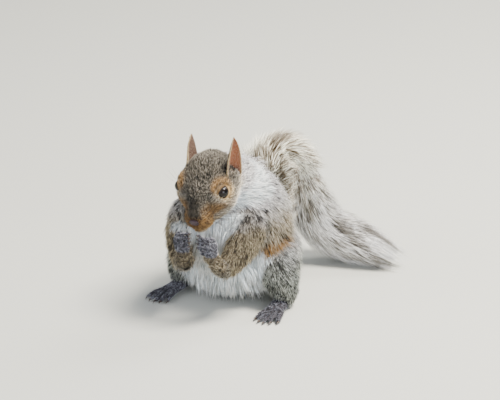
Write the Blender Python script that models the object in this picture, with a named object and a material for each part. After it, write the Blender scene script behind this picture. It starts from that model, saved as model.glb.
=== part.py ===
"""Eastern grey squirrel, life size, hunched on its haunches with both forepaws at the mouth.

The animal faces -Y, its left side is +X and up is +Z.  Every form runs out to the tips of the coat.
Soft forms are lofts: a short row of stations down the middle, each an egg-shaped section.
"""
import math

import bmesh
import bpy
from mathutils import Matrix, Vector

MM = 0.001
GAP = 0.3 * MM                 # clearance between neighbouring parts
WELD = 0.01 * MM               # merge distance after a cut
FLAT_ANGLE = math.radians(2.0)
SIDES = (("left", 1.0), ("right", -1.0))

# Head, along the line from the back of the skull to the nose
SKULL_BACK = (0.0, -14.0, 112.0)
HEAD_PITCH = math.radians(35.0)
HEAD_ROLL = math.radians(3.0)   # right ear a little lower than the left
HEAD_LENGTH = 56.0
CHEEK_HALF_WIDTH = 25.6
MUZZLE_HALF_WIDTH = 8.6
MOUTH_DROP = 6.6               # mouth line below the head line
MOUTH_BACK = 41.0              # corner of the mouth along the head line
EYE_RADIUS = 5.3
EYE_ALONG = 32.0
EYE_RISE = 10.8
EYE_OUT = 18.6
NOSE_SIZE = (3.3, 2.3, 2.4)
EAR_HEIGHT = 29.6
EAR_HALF_WIDTH = 9.8
EAR_CUP = 5.2
EAR_WALL = 1.3

# Trunk heights, from the underside of the rump to the top of the hump
TRUNK_BOTTOM = -4.0
TRUNK_TOP = 108.5
TRUNK_HALF_WIDTH = 47.0
BODY_SHIFT = -4.0               # trunk and shoulders sit to the right of the head's midline

# Everything stands on this level; heights elsewhere are measured from 7 mm above it
FLOOR = -7.0

# Limbs
ROUND_SEGMENTS = 20
DIGIT_SEGMENTS = 6
DIGIT_DOME = 54.0
CLAW_SEGMENTS = 5
FINGERS = 4
FOOT_OUT = 10.5                 # the hind feet stand this much wider than the hips
FINGER_SPACING = 3.45
CLIMB = (0.0, 0.0, 1.0)
PAW_SHIFT = 2.4                 # both forepaws are held a little to the left of the midline
TOES = 5
FINGER_END = 1.2
TOE_END = 1.6
CLAW_RADIUS = 0.7
CLAW_LENGTH = 3.6

# Tail
TAIL_CUTS = 5
TAIL_SEGMENTS = 20
TAIL_RINGS = 4
TAIL_END = 9.0

COAT_GREY = (0.33, 0.30, 0.25)
COAT_TAWNY = (0.38, 0.29, 0.18)
COAT_TAIL = (0.47, 0.42, 0.35)
PAW_SLATE = (0.17, 0.16, 0.18)
EAR_SKIN = (0.42, 0.24, 0.17)
EYE_DARK = (0.012, 0.009, 0.008)
NOSE_SKIN = (0.09, 0.055, 0.06)
CLAW_HORN = (0.05, 0.04, 0.035)


def blend(before, start, end, after, t):
    """Catmull-Rom value between start and end."""
    return 0.5 * (
        2.0 * start
        + (end - before) * t
        + (2.0 * before - 5.0 * start + 4.0 * end - after) * t * t
        + (3.0 * start - before - 3.0 * end + after) * t ** 3
    )


def resample(stations, count):
    """Smooth rows between the given stations."""
    last = len(stations) - 1
    rows = []
    for index in range(count):
        place = index * last / (count - 1)
        cell = min(int(place), last - 1)
        t = place - cell
        keys = [max(cell - 1, 0), cell, cell + 1, min(cell + 2, last)]
        picked = [stations[key] for key in keys]
        rows.append([blend(a, b, c, d, t) for a, b, c, d in zip(*picked)])
    return rows


def section(centre, along, lateral, sizes, scale=1.0, segments=20):
    """One closed section: half width, rise, drop and how much the upper half narrows."""
    half, rise, drop, egg = sizes
    side = (lateral - along * lateral.dot(along)).normalized()
    up = along.cross(side).normalized()
    points = []
    for index in range(segments):
        angle = 2.0 * math.pi * index / segments
        tall = rise if math.cos(angle) > 0.0 else drop
        across = half * math.sin(angle) * (1.0 - egg * math.cos(angle))
        points.append(centre + (side * across + up * tall * math.cos(angle)) * scale)
    return points


def new_object(name, mesh):
    body = bpy.data.objects.new(name, mesh)
    bpy.context.scene.collection.objects.link(body)
    return body


def skin_rings(name, rings):
    """Closed body through a row of sections."""
    shape = bmesh.new()
    rows = [[shape.verts.new(point) for point in ring] for ring in rings]
    for near, far in zip(rows, rows[1:]):
        for index in range(len(near)):
            follow = (index + 1) % len(near)
            shape.faces.new((near[index], near[follow], far[follow]))
            shape.faces.new((near[index], far[follow], far[index]))
    shape.faces.new(rows[0])
    shape.faces.new(rows[-1])
    bmesh.ops.recalc_face_normals(shape, faces=shape.faces)
    mesh = bpy.data.meshes.new(name)
    shape.to_mesh(mesh)
    shape.free()
    return new_object(name, mesh)


def dome_angles(segments):
    """Finer forms get rounder ends."""
    if segments >= ROUND_SEGMENTS:
        return (28.0, 54.0, 76.0)
    if segments > DIGIT_SEGMENTS:
        return (36.0, 68.0)
    return (DIGIT_DOME,)


def loft(name, stations, rings, segments, domes, lateral=(1.0, 0.0, 0.0), axis=None, grow=0.0):
    """Loft of (x, y, z, half width, rise, drop, egg) stations in millimetres.

    domes are the depths of the rounded ends; grow swells the whole body.
    """
    rows = resample(stations, rings)
    centres = [Vector(row[:3]) * MM for row in rows]
    sizes = [[size * MM + grow for size in row[3:6]] + [row[6]] for row in rows]
    sideways = Vector(lateral)
    hoops = []
    for index, centre in enumerate(centres):
        ahead = centres[min(index + 1, rings - 1)]
        behind = centres[max(index - 1, 0)]
        along = Vector(axis) if axis else (ahead - behind).normalized()
        hoops.append((centre, along, sizes[index]))
    outlines = [section(*hoop[:2], sideways, hoop[2], 1.0, segments) for hoop in hoops]
    for end, hoop, way in ((0, hoops[0], -1.0), (1, hoops[-1], 1.0)):
        depth = domes[end] * MM + grow
        cap = []
        for angle in dome_angles(segments):
            lift = math.sin(math.radians(angle))
            close = math.cos(math.radians(angle))
            centre = hoop[0] + hoop[1] * way * depth * lift
            cap.append(section(centre, hoop[1], sideways, hoop[2], close, segments))
        outlines = outlines + cap if end else cap[::-1] + outlines
    return skin_rings(name, outlines)


def ball(name, centre, radii, segments=16, rings=10):
    """Ellipsoid from a UV sphere."""
    shape = bmesh.new()
    bmesh.ops.create_uvsphere(shape, u_segments=segments, v_segments=rings, radius=1.0)
    for vert in shape.verts:
        vert.co = Vector([centre[axis] * MM + vert.co[axis] * radii[axis] for axis in range(3)])
    mesh = bpy.data.meshes.new(name)
    shape.to_mesh(mesh)
    shape.free()
    return new_object(name, mesh)


def block(name, low, high):
    """Box between two corners in millimetres."""
    shape = bmesh.new()
    bmesh.ops.create_cube(shape, size=1.0)
    for vert in shape.verts:
        spans = zip(vert.co, low, high)
        vert.co = Vector([((a + b) / 2.0 + unit * (b - a)) * MM for unit, a, b in spans])
    mesh = bpy.data.meshes.new(name)
    shape.to_mesh(mesh)
    shape.free()
    return new_object(name, mesh)


def islands(shape):
    """Connected groups of faces."""
    left = set(shape.faces)
    groups = []
    while left:
        front = [left.pop()]
        group = []
        while front:
            face = front.pop()
            group.append(face)
            for edge in face.edges:
                for other in edge.link_faces:
                    if other in left:
                        left.remove(other)
                        front.append(other)
        groups.append(group)
    return groups


def tidy(body):
    """Weld the seams of a cut and keep the largest piece."""
    shape = bmesh.new()
    shape.from_mesh(body.data)
    bmesh.ops.remove_doubles(shape, verts=shape.verts, dist=WELD)
    bmesh.ops.dissolve_degenerate(shape, edges=shape.edges, dist=WELD)
    groups = sorted(islands(shape), key=lambda group: sum(face.calc_area() for face in group))
    spare = [face for group in groups[:-1] for face in group]
    bmesh.ops.delete(shape, geom=spare, context="FACES")
    loose = [vert for vert in shape.verts if not vert.link_faces]
    bmesh.ops.delete(shape, geom=loose, context="VERTS")
    bmesh.ops.dissolve_limit(shape, angle_limit=FLAT_ANGLE, verts=shape.verts, edges=shape.edges)
    bmesh.ops.triangulate(shape, faces=shape.faces)
    shape.to_mesh(body.data)
    shape.free()


def combine(body, tool, operation, solver="EXACT"):
    """Boolean of two closed bodies; the tool is used up."""
    step = body.modifiers.new(operation.lower(), "BOOLEAN")
    step.operation = operation
    step.solver = solver
    step.object = tool
    graph = bpy.context.evaluated_depsgraph_get()
    result = bpy.data.meshes.new_from_object(body.evaluated_get(graph))
    body.modifiers.clear()
    spent = body.data
    body.data = result
    bpy.data.meshes.remove(spent)
    bpy.data.objects.remove(tool, do_unlink=True)
    return body


def head_point(along, rise, out=0.0):
    """Point given along the head line, above it and out to the side."""
    forward = -along * math.cos(HEAD_PITCH) - rise * math.sin(HEAD_PITCH)
    height = -along * math.sin(HEAD_PITCH) + rise * math.cos(HEAD_PITCH)
    return (out, SKULL_BACK[1] + forward, SKULL_BACK[2] + height)


def rolled(body):
    """Turn a part of the head about the head line."""
    pivot = Vector(SKULL_BACK) * MM
    line = Vector((0.0, -math.cos(HEAD_PITCH), -math.sin(HEAD_PITCH)))
    turn = Matrix.Translation(pivot) @ Matrix.Rotation(HEAD_ROLL, 4, line)
    body.data.transform(turn @ Matrix.Translation(-pivot))
    return body


def head_form(name, grow=0.0):
    """Skull, cheeks and muzzle with the lower jaw still joined."""
    wide = CHEEK_HALF_WIDTH
    snout = MUZZLE_HALF_WIDTH
    profile = (
        (1.0, wide * 0.72, 22.0, 13.0, 0.0),
        (9.0, wide * 0.90, 26.5, 15.0, -0.04),
        (18.0, wide * 1.00, 27.0, 16.5, -0.06),
        (27.0, wide * 1.01, 25.0, 18.0, -0.04),
        (34.0, wide * 0.95, 22.4, 17.6, 0.02),
        (41.0, wide * 0.66, 18.2, 16.4, 0.08),
        (47.0, snout * 1.25, 12.9, 15.4, 0.06),
        (52.5, snout * 1.02, 8.6, 14.2, 0.02),
        (HEAD_LENGTH, snout * 0.80, 5.4, 12.0, 0.0),
    )
    stations = [head_point(row[0], 0.0) + row[1:] for row in profile]
    return rolled(loft(name, stations, 13, 22, (9.0, 3.4), grow=grow))


def jaw_wedge(name, grow=0.0):
    """Block below the mouth line, from the corner of the mouth forward."""
    tool = block(name, (-30.0, -40.0, -40.0), (30.0, 0.0, 0.0))
    corner = Vector(head_point(MOUTH_BACK, -MOUTH_DROP)) * MM
    tool.location = corner + Vector((0.0, grow, grow))
    tool.rotation_euler = (HEAD_PITCH - math.radians(4.0), 0.0, 0.0)
    bpy.context.view_layer.update()
    return tool


def eye(name, sign, grow=0.0):
    centre = head_point(EYE_ALONG, EYE_RISE, EYE_OUT * sign)
    radius = EYE_RADIUS * MM + grow
    return rolled(ball(name, centre, (radius, radius, radius), 10, 7))


def nose(name, grow=0.0):
    centre = head_point(HEAD_LENGTH + 2.6, 1.4)
    return rolled(ball(name, centre, [size * MM + grow for size in NOSE_SIZE], 10, 6))


def ear(name, sign, grow=0.0):
    """Cupped shell, widest low down, closing to a blunt point, open to the side."""
    swell = grow / MM
    root = Vector((17.4 * sign, -29.0, 114.5 - swell))
    tip = Vector((20.8 * sign, -30.2, 114.5 + EAR_HEIGHT))
    chord = Vector((0.14 * sign, 0.99, 0.0)).normalized()
    opening = Vector((0.98 * sign, -0.2, 0.1)).normalized()
    rows = 6
    columns = 6
    fronts = []
    backs = []
    for row in range(rows + 1):
        climb = 0.985 * row / rows
        half = EAR_HALF_WIDTH * (1.0 - climb) ** 0.72 * (1.0 + 0.85 * climb) + swell
        cup = EAR_CUP * (1.0 - 0.75 * climb)
        wall = EAR_WALL * (1.0 - 0.35 * climb) + 2.0 * swell
        middle = root.lerp(tip, climb)
        front = []
        back = []
        for column in range(columns + 1):
            across = 2.0 * column / columns - 1.0
            hollow = cup * (across * across - 0.55)
            spot = middle + chord * half * across + opening * hollow
            inner = spot + opening * wall * 0.5
            outer = spot - opening * wall * 0.5
            front.append(inner * MM)
            back.append(outer * MM)
        fronts.append(front)
        backs.append(back)
    rings = [front + back[::-1] for front, back in zip(fronts, backs)]
    return rolled(skin_rings(name, rings))


def neck(name, grow=0.0):
    stations = (
        (0.0, -24.0, 106.0, 22.5, 19.5, 21.0, 0.0),
        (BODY_SHIFT * 0.5, -11.0, 97.5, 30.5, 23.0, 24.0, 0.0),
        (BODY_SHIFT, 4.0, 88.0, 37.0, 23.5, 26.0, 0.0),
    )
    return loft(name, stations, 4, 14, (4.0, 4.0), grow=grow)


def trunk(name, grow=0.0):
    """Level sections: front of the belly, line of the back, half width."""
    wide = TRUNK_HALF_WIDTH
    levels = (
        (TRUNK_BOTTOM + 4.0, 4.0, 46.0, wide * 0.55),
        (8.0, -19.0, 50.0, wide * 0.72),
        (18.0, -27.0, 56.0, wide * 0.85),
        (34.0, -31.0, 62.0, wide * 0.94),
        (50.0, -32.0, 63.0, wide * 1.00),
        (66.0, -30.0, 60.0, wide * 0.95),
        (80.0, -27.0, 53.0, wide * 0.85),
        (92.0, -22.0, 45.0, wide * 0.70),
        (101.0, -12.0, 37.0, wide * 0.51),
    )
    stations = []
    for height, front, back, half in levels:
        deep = (back - front) / 2.0
        stations.append((BODY_SHIFT, (front + back) / 2.0, height, half, deep, deep, 0.0))
    top = TRUNK_TOP - levels[-1][0]
    return loft(name, stations, 10, 20, (4.0, top), axis=(0.0, 0.0, 1.0), grow=grow)


def mirrored(stations, sign, shift=0.0):
    """Stations of a left limb, or of its right twin, with the far end carried to the left."""
    last = len(stations) - 1
    rows = []
    for index, row in enumerate(stations):
        carried = shift * min(1.0, index / last * 1.5)
        rows.append((row[0] * sign + carried,) + tuple(row[1:]))
    return rows


def upper_arm(name, sign, grow=0.0):
    lean = BODY_SHIFT * sign
    stations = (
        (26.5 + lean, -8.0, 69.0, 13.5, 16.0, 17.0, 0.0),
        (28.5 + lean, -17.5, 59.0, 14.2, 17.0, 17.0, 0.0),
        (26.5 + lean * 0.6, -30.0, 48.0, 12.0, 13.0, 12.0, 0.0),
        (22.0 + lean * 0.2, -39.5, 39.0, 9.2, 9.5, 9.0, 0.0),
    )
    return loft(name, mirrored(stations, sign), 5, 12, (10.0, 7.0), grow=grow)


def forearm(name, sign, grow=0.0):
    stations = (
        (18.6, -42.5, 36.5, 7.6, 8.0, 8.0, 0.0),
        (16.4, -50.0, 40.0, 7.4, 7.4, 7.4, 0.0),
        (14.4, -56.0, 46.0, 6.2, 6.2, 6.0, 0.0),
        (13.2, -59.0, 51.5, 5.6, 5.4, 5.2, 0.0),
    )
    return loft(name, mirrored(stations, sign, PAW_SHIFT), 4, 12, (6.0, 3.0), grow=grow)


def digit_paths():
    """Finger middles of a left forepaw, stacked and curled in front of the mouth."""
    paths = []
    for index in range(FINGERS):
        climb = index * FINGER_SPACING
        knuckle = Vector((10.2, -65.4, 56.6 + climb))
        bend = Vector((7.6, -68.8, 57.6 + climb))
        end = Vector((5.0, -67.0, 58.9 + climb))
        paths.append((knuckle, bend, end))
    return paths


def forepaw(name, sign, grow=0.0):
    palm = (
        (13.2, -60.0, 52.5, 6.0, 5.0, 4.8, 0.0),
        (13.0, -62.6, 58.5, 6.8, 5.0, 4.8, 0.0),
        (12.2, -64.0, 65.0, 6.2, 4.2, 4.0, 0.0),
    )
    body = loft(name, mirrored(palm, sign), 4, 12, (3.0, 3.0), grow=grow)
    for vert in body.data.vertices:
        vert.co.x += PAW_SHIFT * MM
    for path in digit_paths():
        sizes = ((1.65, 1.65, 1.65), (1.6, 1.6, 1.6), (1.3, 1.3, 1.3))
        stations = [tuple(point) + size + (0.0,) for point, size in zip(path, sizes)]
        stations = [(row[0] + PAW_SHIFT,) + row[1:] for row in mirrored(stations, sign)]
        finger = loft("finger", stations, 3, DIGIT_SEGMENTS, (1.5, FINGER_END), CLIMB, grow=grow)
        combine(body, finger, "UNION")
    return body


def thigh(name, sign, grow=0.0):
    stations = (
        (25.0, 42.0, 28.0, 14.5, 22.0, 20.0, 0.0),
        (29.0, 31.0, 28.0, 16.5, 27.0, 24.5, 0.0),
        (34.0, 18.0, 26.0, 16.5, 25.0, 23.0, 0.0),
        (40.5, 6.0, 21.5, 15.0, 19.0, 18.5, 0.0),
        (44.0, -2.0, 17.5, 12.0, 13.5, 13.0, 0.0),
    )
    return loft(name, mirrored(stations, sign), 6, 14, (10.0, 7.0), grow=grow)


def lower_leg(name, sign, grow=0.0):
    """Shank and its shaggy coat, straight down from the knee to the heel."""
    stations = (
        (45.0, 5.0, 22.0, 13.5, 11.0, 11.0, 0.0),
        (46.5, 4.0, 11.0, 12.5, 11.5, 11.5, 0.0),
        (46.8, 5.5, 2.5, 10.0, 10.5, 10.5, 0.0),
        (46.2, 8.0, -1.5, 7.4, 8.5, 8.5, 0.0),
    )
    return loft(name, mirrored(stations, sign), 4, 10, (5.0, 3.0), grow=grow)


def toe_paths():
    """Toe middles of a left hind foot, fanned forward from the ball."""
    paths = []
    for index in range(TOES):
        spread = index / (TOES - 1) - 0.5
        reach = 17.0 - 18.0 * spread * spread - 1.5 * spread
        ball_end = Vector((37.5 + spread * 12.0, -18.0, 4.0))
        bend = Vector((38.5 + spread * 16.0, -18.0 - reach * 0.55, 3.8))
        end = Vector((39.0 + spread * 18.5, -18.0 - reach, 1.9))
        stand = Vector((FOOT_OUT, 0.0, FLOOR))
        paths.append((ball_end + stand, bend + stand, end + stand))
    return paths


def hind_foot(name, sign, grow=0.0):
    sole = (
        (32.5, 26.0, 6.0, 5.8, 5.6, 6.2, 0.0),
        (34.0, 12.0, 5.4, 6.2, 5.4, 5.3, 0.0),
        (35.8, -2.0, 4.8, 7.4, 4.8, 4.6, 0.0),
        (37.4, -16.0, 4.0, 8.2, 3.8, 4.2, 0.0),
    )
    stood = [(row[0] + FOOT_OUT, row[1], row[2] + FLOOR) + row[3:] for row in sole]
    body = loft(name, mirrored(stood, sign), 5, 10, (5.0, 3.5), grow=grow)
    for path in toe_paths():
        sizes = ((2.4, 2.4, 2.4), (2.2, 2.3, 2.2), (1.8, 1.9, 1.9))
        stations = [tuple(point) + size + (0.0,) for point, size in zip(path, sizes)]
        toe = loft("toe", mirrored(stations, sign), 3, DIGIT_SEGMENTS, (2.0, TOE_END), grow=grow)
        combine(body, toe, "UNION")
    return body


def claw(name, sign, path, droop, tip_depth, carried):
    """Curved horn cone growing out of the last joint of a digit."""
    run = (path[2] - path[1]).normalized()
    start = path[2] + run * (tip_depth * math.sin(math.radians(DIGIT_DOME)) + GAP / MM)
    middle = start + run * CLAW_LENGTH * 0.55
    point = middle + run * CLAW_LENGTH * 0.4 + droop
    radii = (CLAW_RADIUS, CLAW_RADIUS * 0.8, CLAW_RADIUS * 0.42)
    centres = (start, middle, point)
    stations = []
    for spot, size in zip(centres, radii):
        stations.append((spot.x * sign + carried, spot.y, spot.z, size, size, size, 0.0))
    return loft(name, stations, 3, CLAW_SEGMENTS, (0.0, 0.2))


# x, y, height, half width, outer and inner depth, and how far a section turns with the sideways run
TAIL_STATIONS = (
    (0.0, 59.0, 16.0, 12.0, 10.0, 9.0, 0.0),
    (0.0, 67.0, 31.0, 20.0, 11.0, 9.0, 0.0),
    (-1.0, 71.0, 48.0, 26.0, 12.0, 9.0, 0.0),
    (-2.0, 71.5, 64.0, 30.0, 13.0, 8.5, 0.0),
    (-3.0, 71.0, 79.0, 32.0, 16.0, 8.0, 0.0),
    (-3.5, 73.5, 89.5, 32.5, 19.5, 8.0, 0.0),
    (-1.0, 81.0, 94.5, 31.5, 20.5, 8.0, 0.0),
    (4.0, 90.0, 91.0, 27.5, 19.5, 8.0, 0.0),
    (8.5, 96.5, 81.0, 25.5, 18.5, 8.5, 0.1),
    (12.0, 100.0, 66.0, 23.5, 17.5, 10.0, 0.3),
    (14.6, 105.0, 46.5, 23.5, 18.0, 14.0, 0.7),
    (19.8, 111.0, 29.7, 24.0, 19.0, 18.0, 1.0),
    (31.4, 117.4, 17.9, 21.5, 20.0, 20.0, 1.0),
    (51.0, 122.8, 11.0, 18.65, 20.0, 20.0, 1.0),
    (71.0, 122.8, 7.3, 15.15, 17.0, 17.0, 1.0),
    (89.0, 122.8, 1.1, 8.75, 8.5, 8.5, 1.0),
)


def paint(body, name, colour, roughness):
    skin = bpy.data.materials.new(name)
    skin.use_nodes = True
    shader = skin.node_tree.nodes["Principled BSDF"]
    shader.inputs["Base Color"].default_value = (*colour, 1.0)
    shader.inputs["Roughness"].default_value = roughness
    shader.inputs["Metallic"].default_value = 0.0
    skin.diffuse_color = (*colour, 1.0)
    body.data.materials.clear()
    body.data.materials.append(skin)
    body.data.shade_smooth()
    body.data.set_sharp_from_angle(angle=math.radians(40.0))


def tail_length(name, index, grow=0.0):
    """One length of the tail, cut square to its middle line at both ends."""
    rows = resample(TAIL_STATIONS, TAIL_RINGS * TAIL_CUTS + 1)
    centres = [Vector(row[:3]) * MM for row in rows]
    first = index * TAIL_RINGS
    last = first + TAIL_RINGS
    hoops = []
    side = Vector((-1.0, 0.0, 0.0))
    for place in range(last + 1):
        ahead = centres[min(place + 1, len(rows) - 1)]
        behind = centres[max(place - 1, 0)]
        run = ahead - behind
        along = Vector((run.x * rows[place][6], run.y, run.z)).normalized()
        side = (side - along * side.dot(along)).normalized()
        sizes = [size * MM + grow for size in rows[place][3:6]] + [0.0]
        if place >= first:
            hoops.append([centres[place], along, side, sizes])
    if index > 0:
        hoops[0][0] = hoops[0][0] + hoops[0][1] * (GAP / 2.0 - grow)
    if index < TAIL_CUTS - 1:
        hoops[-1][0] = hoops[-1][0] - hoops[-1][1] * (GAP / 2.0 - grow)
    outlines = [section(*hoop, 1.0, TAIL_SEGMENTS) for hoop in hoops]
    for end, hoop, way in ((0, hoops[0], -1.0), (TAIL_CUTS - 1, hoops[-1], 1.0)):
        if index != end:
            continue
        cap = []
        for angle in (30.0, 60.0):
            lift = math.sin(math.radians(angle))
            close = math.cos(math.radians(angle))
            centre = hoop[0] + hoop[1] * way * TAIL_END * MM * lift
            cap.append(section(centre, *hoop[1:], close, TAIL_SEGMENTS))
        outlines = outlines + cap if end else cap[::-1] + outlines
    return skin_rings(name, outlines)


def part_list():
    """Each part with its maker, colour and roughness; earlier parts keep their full form."""
    parts = []
    for side, sign in SIDES:
        parts.append(("eye_" + side, lambda n, g, s=sign: eye(n, s, g), EYE_DARK, 0.08))
    parts.append(("nose", lambda n, g: nose(n, g), NOSE_SKIN, 0.45))
    parts.append(("head", lambda n, g: head_form(n, g), COAT_GREY, 0.85))
    for side, sign in SIDES:
        parts.append(("ear_" + side, lambda n, g, s=sign: ear(n, s, g), EAR_SKIN, 0.7))
    for side, sign in SIDES:
        parts.append(("forepaw_" + side, lambda n, g, s=sign: forepaw(n, s, g), PAW_SLATE, 0.75))
        parts.append(("forearm_" + side, lambda n, g, s=sign: forearm(n, s, g), COAT_TAWNY, 0.85))
        parts.append(("upper_arm_" + side, lambda n, g, s=sign: upper_arm(n, s, g), COAT_TAWNY, 0.85))
        parts.append(("thigh_" + side, lambda n, g, s=sign: thigh(n, s, g), COAT_GREY, 0.85))
        parts.append(("hind_foot_" + side, lambda n, g, s=sign: hind_foot(n, s, g), PAW_SLATE, 0.75))
        parts.append(("lower_leg_" + side, lambda n, g, s=sign: lower_leg(n, s, g), COAT_GREY, 0.85))
    parts.append(("trunk", lambda n, g: trunk(n, g), COAT_GREY, 0.85))
    parts.append(("neck", lambda n, g: neck(n, g), COAT_GREY, 0.85))
    for index in range(TAIL_CUTS):
        name = "tail_" + str(index + 1)
        parts.append((name, lambda n, g, i=index: tail_length(n, i, g), COAT_TAIL, 0.9))
    return parts


def bounds(body):
    spots = [body.matrix_world @ vert.co for vert in body.data.vertices]
    low = Vector([min(spot[axis] for spot in spots) for axis in range(3)])
    high = Vector([max(spot[axis] for spot in spots) for axis in range(3)])
    return low, high


def meet(one, two):
    return all(one[0][axis] < two[1][axis] + GAP and two[0][axis] < one[1][axis] + GAP
               for axis in range(3))


def main():
    for stale in list(bpy.data.objects):
        bpy.data.objects.remove(stale, do_unlink=True)
    squirrel = bpy.data.collections.new("grey_squirrel")
    bpy.context.scene.collection.children.link(squirrel)
    done = []
    made = {}
    looks = {}
    for name, make, colour, roughness in part_list():
        looks[name] = (colour, roughness)
        body = make(name, 0.0)
        box = bounds(body)
        for other, other_make, other_box in done:
            same_tail = name.startswith("tail") and other.startswith("tail")
            if same_tail and abs(int(name[-1]) - int(other[-1])) == 1:
                continue
            if meet(box, other_box):
                solver = "MANIFOLD" if other.startswith("hind_foot") else "EXACT"
                combine(body, other_make("cutter", GAP), "DIFFERENCE", solver)
        if name.startswith(("hind_foot", "tail")):
            combine(body, block("floor", (-300.0, -300.0, -60.0), (300.0, 300.0, FLOOR)), "DIFFERENCE")
        done.append((name, make, box))
        made[name] = body
    jaw = head_form("lower_jaw")
    combine(jaw, jaw_wedge("wedge"), "INTERSECT")
    combine(made["head"], jaw_wedge("wedge", GAP), "DIFFERENCE")
    made["lower_jaw"] = jaw
    looks["lower_jaw"] = (COAT_GREY, 0.85)
    for side, sign in SIDES:
        for index, path in enumerate(digit_paths()):
            name = "claw_fore_" + side + "_" + str(index + 1)
            body = claw(name, sign, path, Vector((0.0, 0.6, 0.0)), FINGER_END, PAW_SHIFT)
            made[name] = body
            looks[name] = (CLAW_HORN, 0.4)
        for index, path in enumerate(toe_paths()):
            name = "claw_hind_" + side + "_" + str(index + 1)
            body = claw(name, sign, path, Vector((0.0, 0.0, 0.5)), TOE_END, 0.0)
            made[name] = body
            looks[name] = (CLAW_HORN, 0.4)
    for name, body in made.items():
        tidy(body)
        paint(body, name, *looks[name])
    boxes = [bounds(body) for body in made.values()]
    low = Vector([min(box[0][axis] for box in boxes) for axis in range(3)])
    high = Vector([max(box[1][axis] for box in boxes) for axis in range(3)])
    shift = Vector(((low.x + high.x) / 2.0, (low.y + high.y) / 2.0, low.z))
    for body in made.values():
        for vert in body.data.vertices:
            vert.co = vert.co - shift
        bpy.context.scene.collection.objects.unlink(body)
        squirrel.objects.link(body)


main()
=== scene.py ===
import math

import bmesh
import bpy
import numpy as np
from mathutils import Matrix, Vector
from mathutils.bvhtree import BVHTree


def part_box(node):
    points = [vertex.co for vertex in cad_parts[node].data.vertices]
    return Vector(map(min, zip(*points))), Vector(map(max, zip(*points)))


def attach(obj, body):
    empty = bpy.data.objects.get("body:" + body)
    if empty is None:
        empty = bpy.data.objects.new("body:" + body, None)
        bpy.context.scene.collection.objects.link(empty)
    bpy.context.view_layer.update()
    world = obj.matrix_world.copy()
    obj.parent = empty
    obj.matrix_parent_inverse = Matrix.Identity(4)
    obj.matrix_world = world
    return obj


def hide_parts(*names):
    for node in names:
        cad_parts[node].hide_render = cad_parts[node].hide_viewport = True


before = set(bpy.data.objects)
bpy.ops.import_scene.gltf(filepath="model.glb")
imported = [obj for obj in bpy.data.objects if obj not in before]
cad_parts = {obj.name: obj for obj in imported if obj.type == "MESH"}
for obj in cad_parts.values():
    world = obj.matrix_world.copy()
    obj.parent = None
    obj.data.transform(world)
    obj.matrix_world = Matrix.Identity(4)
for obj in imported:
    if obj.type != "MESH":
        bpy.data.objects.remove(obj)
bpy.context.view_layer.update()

MM = 0.001
SIDES = (("left", 1.0), ("right", -1.0))
rng = np.random.default_rng(20)

# ---- sizes, in millimetres, of the grey squirrel and its coat -------------------------------
HEAD_PITCH = math.radians(35.0)      # how far the head line points below level
HEAD_BEND = 1.8                      # nose turned this far to its left, back of the skull to its right
BEND_MIDDLE = 34.0                   # place along the head that stays where it is
BEND_REACH = 24.0
NOSE_ALONG = 58.6                    # nose pad along the head line from the back of the skull
NOSE_RISE = 1.4
CROWN_DROP = 1.5                     # fur on the crown lies this much closer than on the cheeks
EYE_RADIUS = 5.3
EYE_AXIS = (0.30, 0.92, 0.20)        # forward, outward and upward in the head's own frame
EYE_LONG = 76.0                      # half opening of the lids along the head line, degrees
EYE_SHORT = 49.0                     # half opening across it, degrees
LID_REACH = 112.0                    # how far round the eyeball the lids go, degrees
LID_POINT = 1.75                     # below 2 the corners of the eye draw to points
LID_WALL = 0.45
SKIN_VOXEL = 1.2
PAW_VOXEL = 0.52
CLOSE_GAPS = 0.35                    # the solids swell by this, so that the gaps between them close
SKIN_SMOOTHING = 12
WEIGHT_SMOOTHING = 34
BAKE_PATCH = 0.003                   # side of one hair's patch on the bake map
HAIR_SHARE = 1.0

# coat of each length of the body: depth, hair length, hair width, hairs per square mm, lock size, lock pull
COAT = {
    "head": (1.8, 4.4, 0.35, 3.8, 0.85, 0.26),
    "lower_jaw": (1.2, 3.2, 0.34, 3.6, 1.5, 0.30),
    "neck": (4.2, 9.0, 0.48, 2.0, 2.0, 0.38),
    "trunk": (5.0, 10.5, 0.52, 1.4, 2.1, 0.38),
    "upper_arm": (2.8, 7.2, 0.46, 1.95, 1.9, 0.38),
    "forearm": (1.5, 4.6, 0.38, 2.5, 1.6, 0.34),
    "forepaw": (0.45, 2.1, 0.29, 4.9, 1.3, 0.25),
    "thigh": (3.4, 9.6, 0.40, 1.95, 1.6, 0.22),
    "lower_leg": (1.9, 6.0, 0.40, 2.1, 1.6, 0.25),
    "hind_foot": (0.7, 3.0, 0.34, 2.1, 1.6, 0.30),
    "tail": (0.0, 0.0, 0.0, 0.0, 0.0, 0.0),
}
BELLY_COAT = (6.5, 15.5, 0.56, 1.7, 4.6, 0.55)
FACE_COAT = (1.1, 2.9, 0.29, 5.4, 1.0, 0.3)

# way the hairs of each limb point: outward, back, up
LIMB_LIE = {
    "upper_arm": (0.10, -0.45, -0.85),
    "forearm": (-0.20, -0.72, 0.62),
    "forepaw": (-0.40, -0.30, 0.85),
    "thigh": (0.10, 0.22, -0.95),
    "lower_leg": (0.05, -0.15, -1.0),
    "hind_foot": (0.0, -1.0, -0.05),
}

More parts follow.
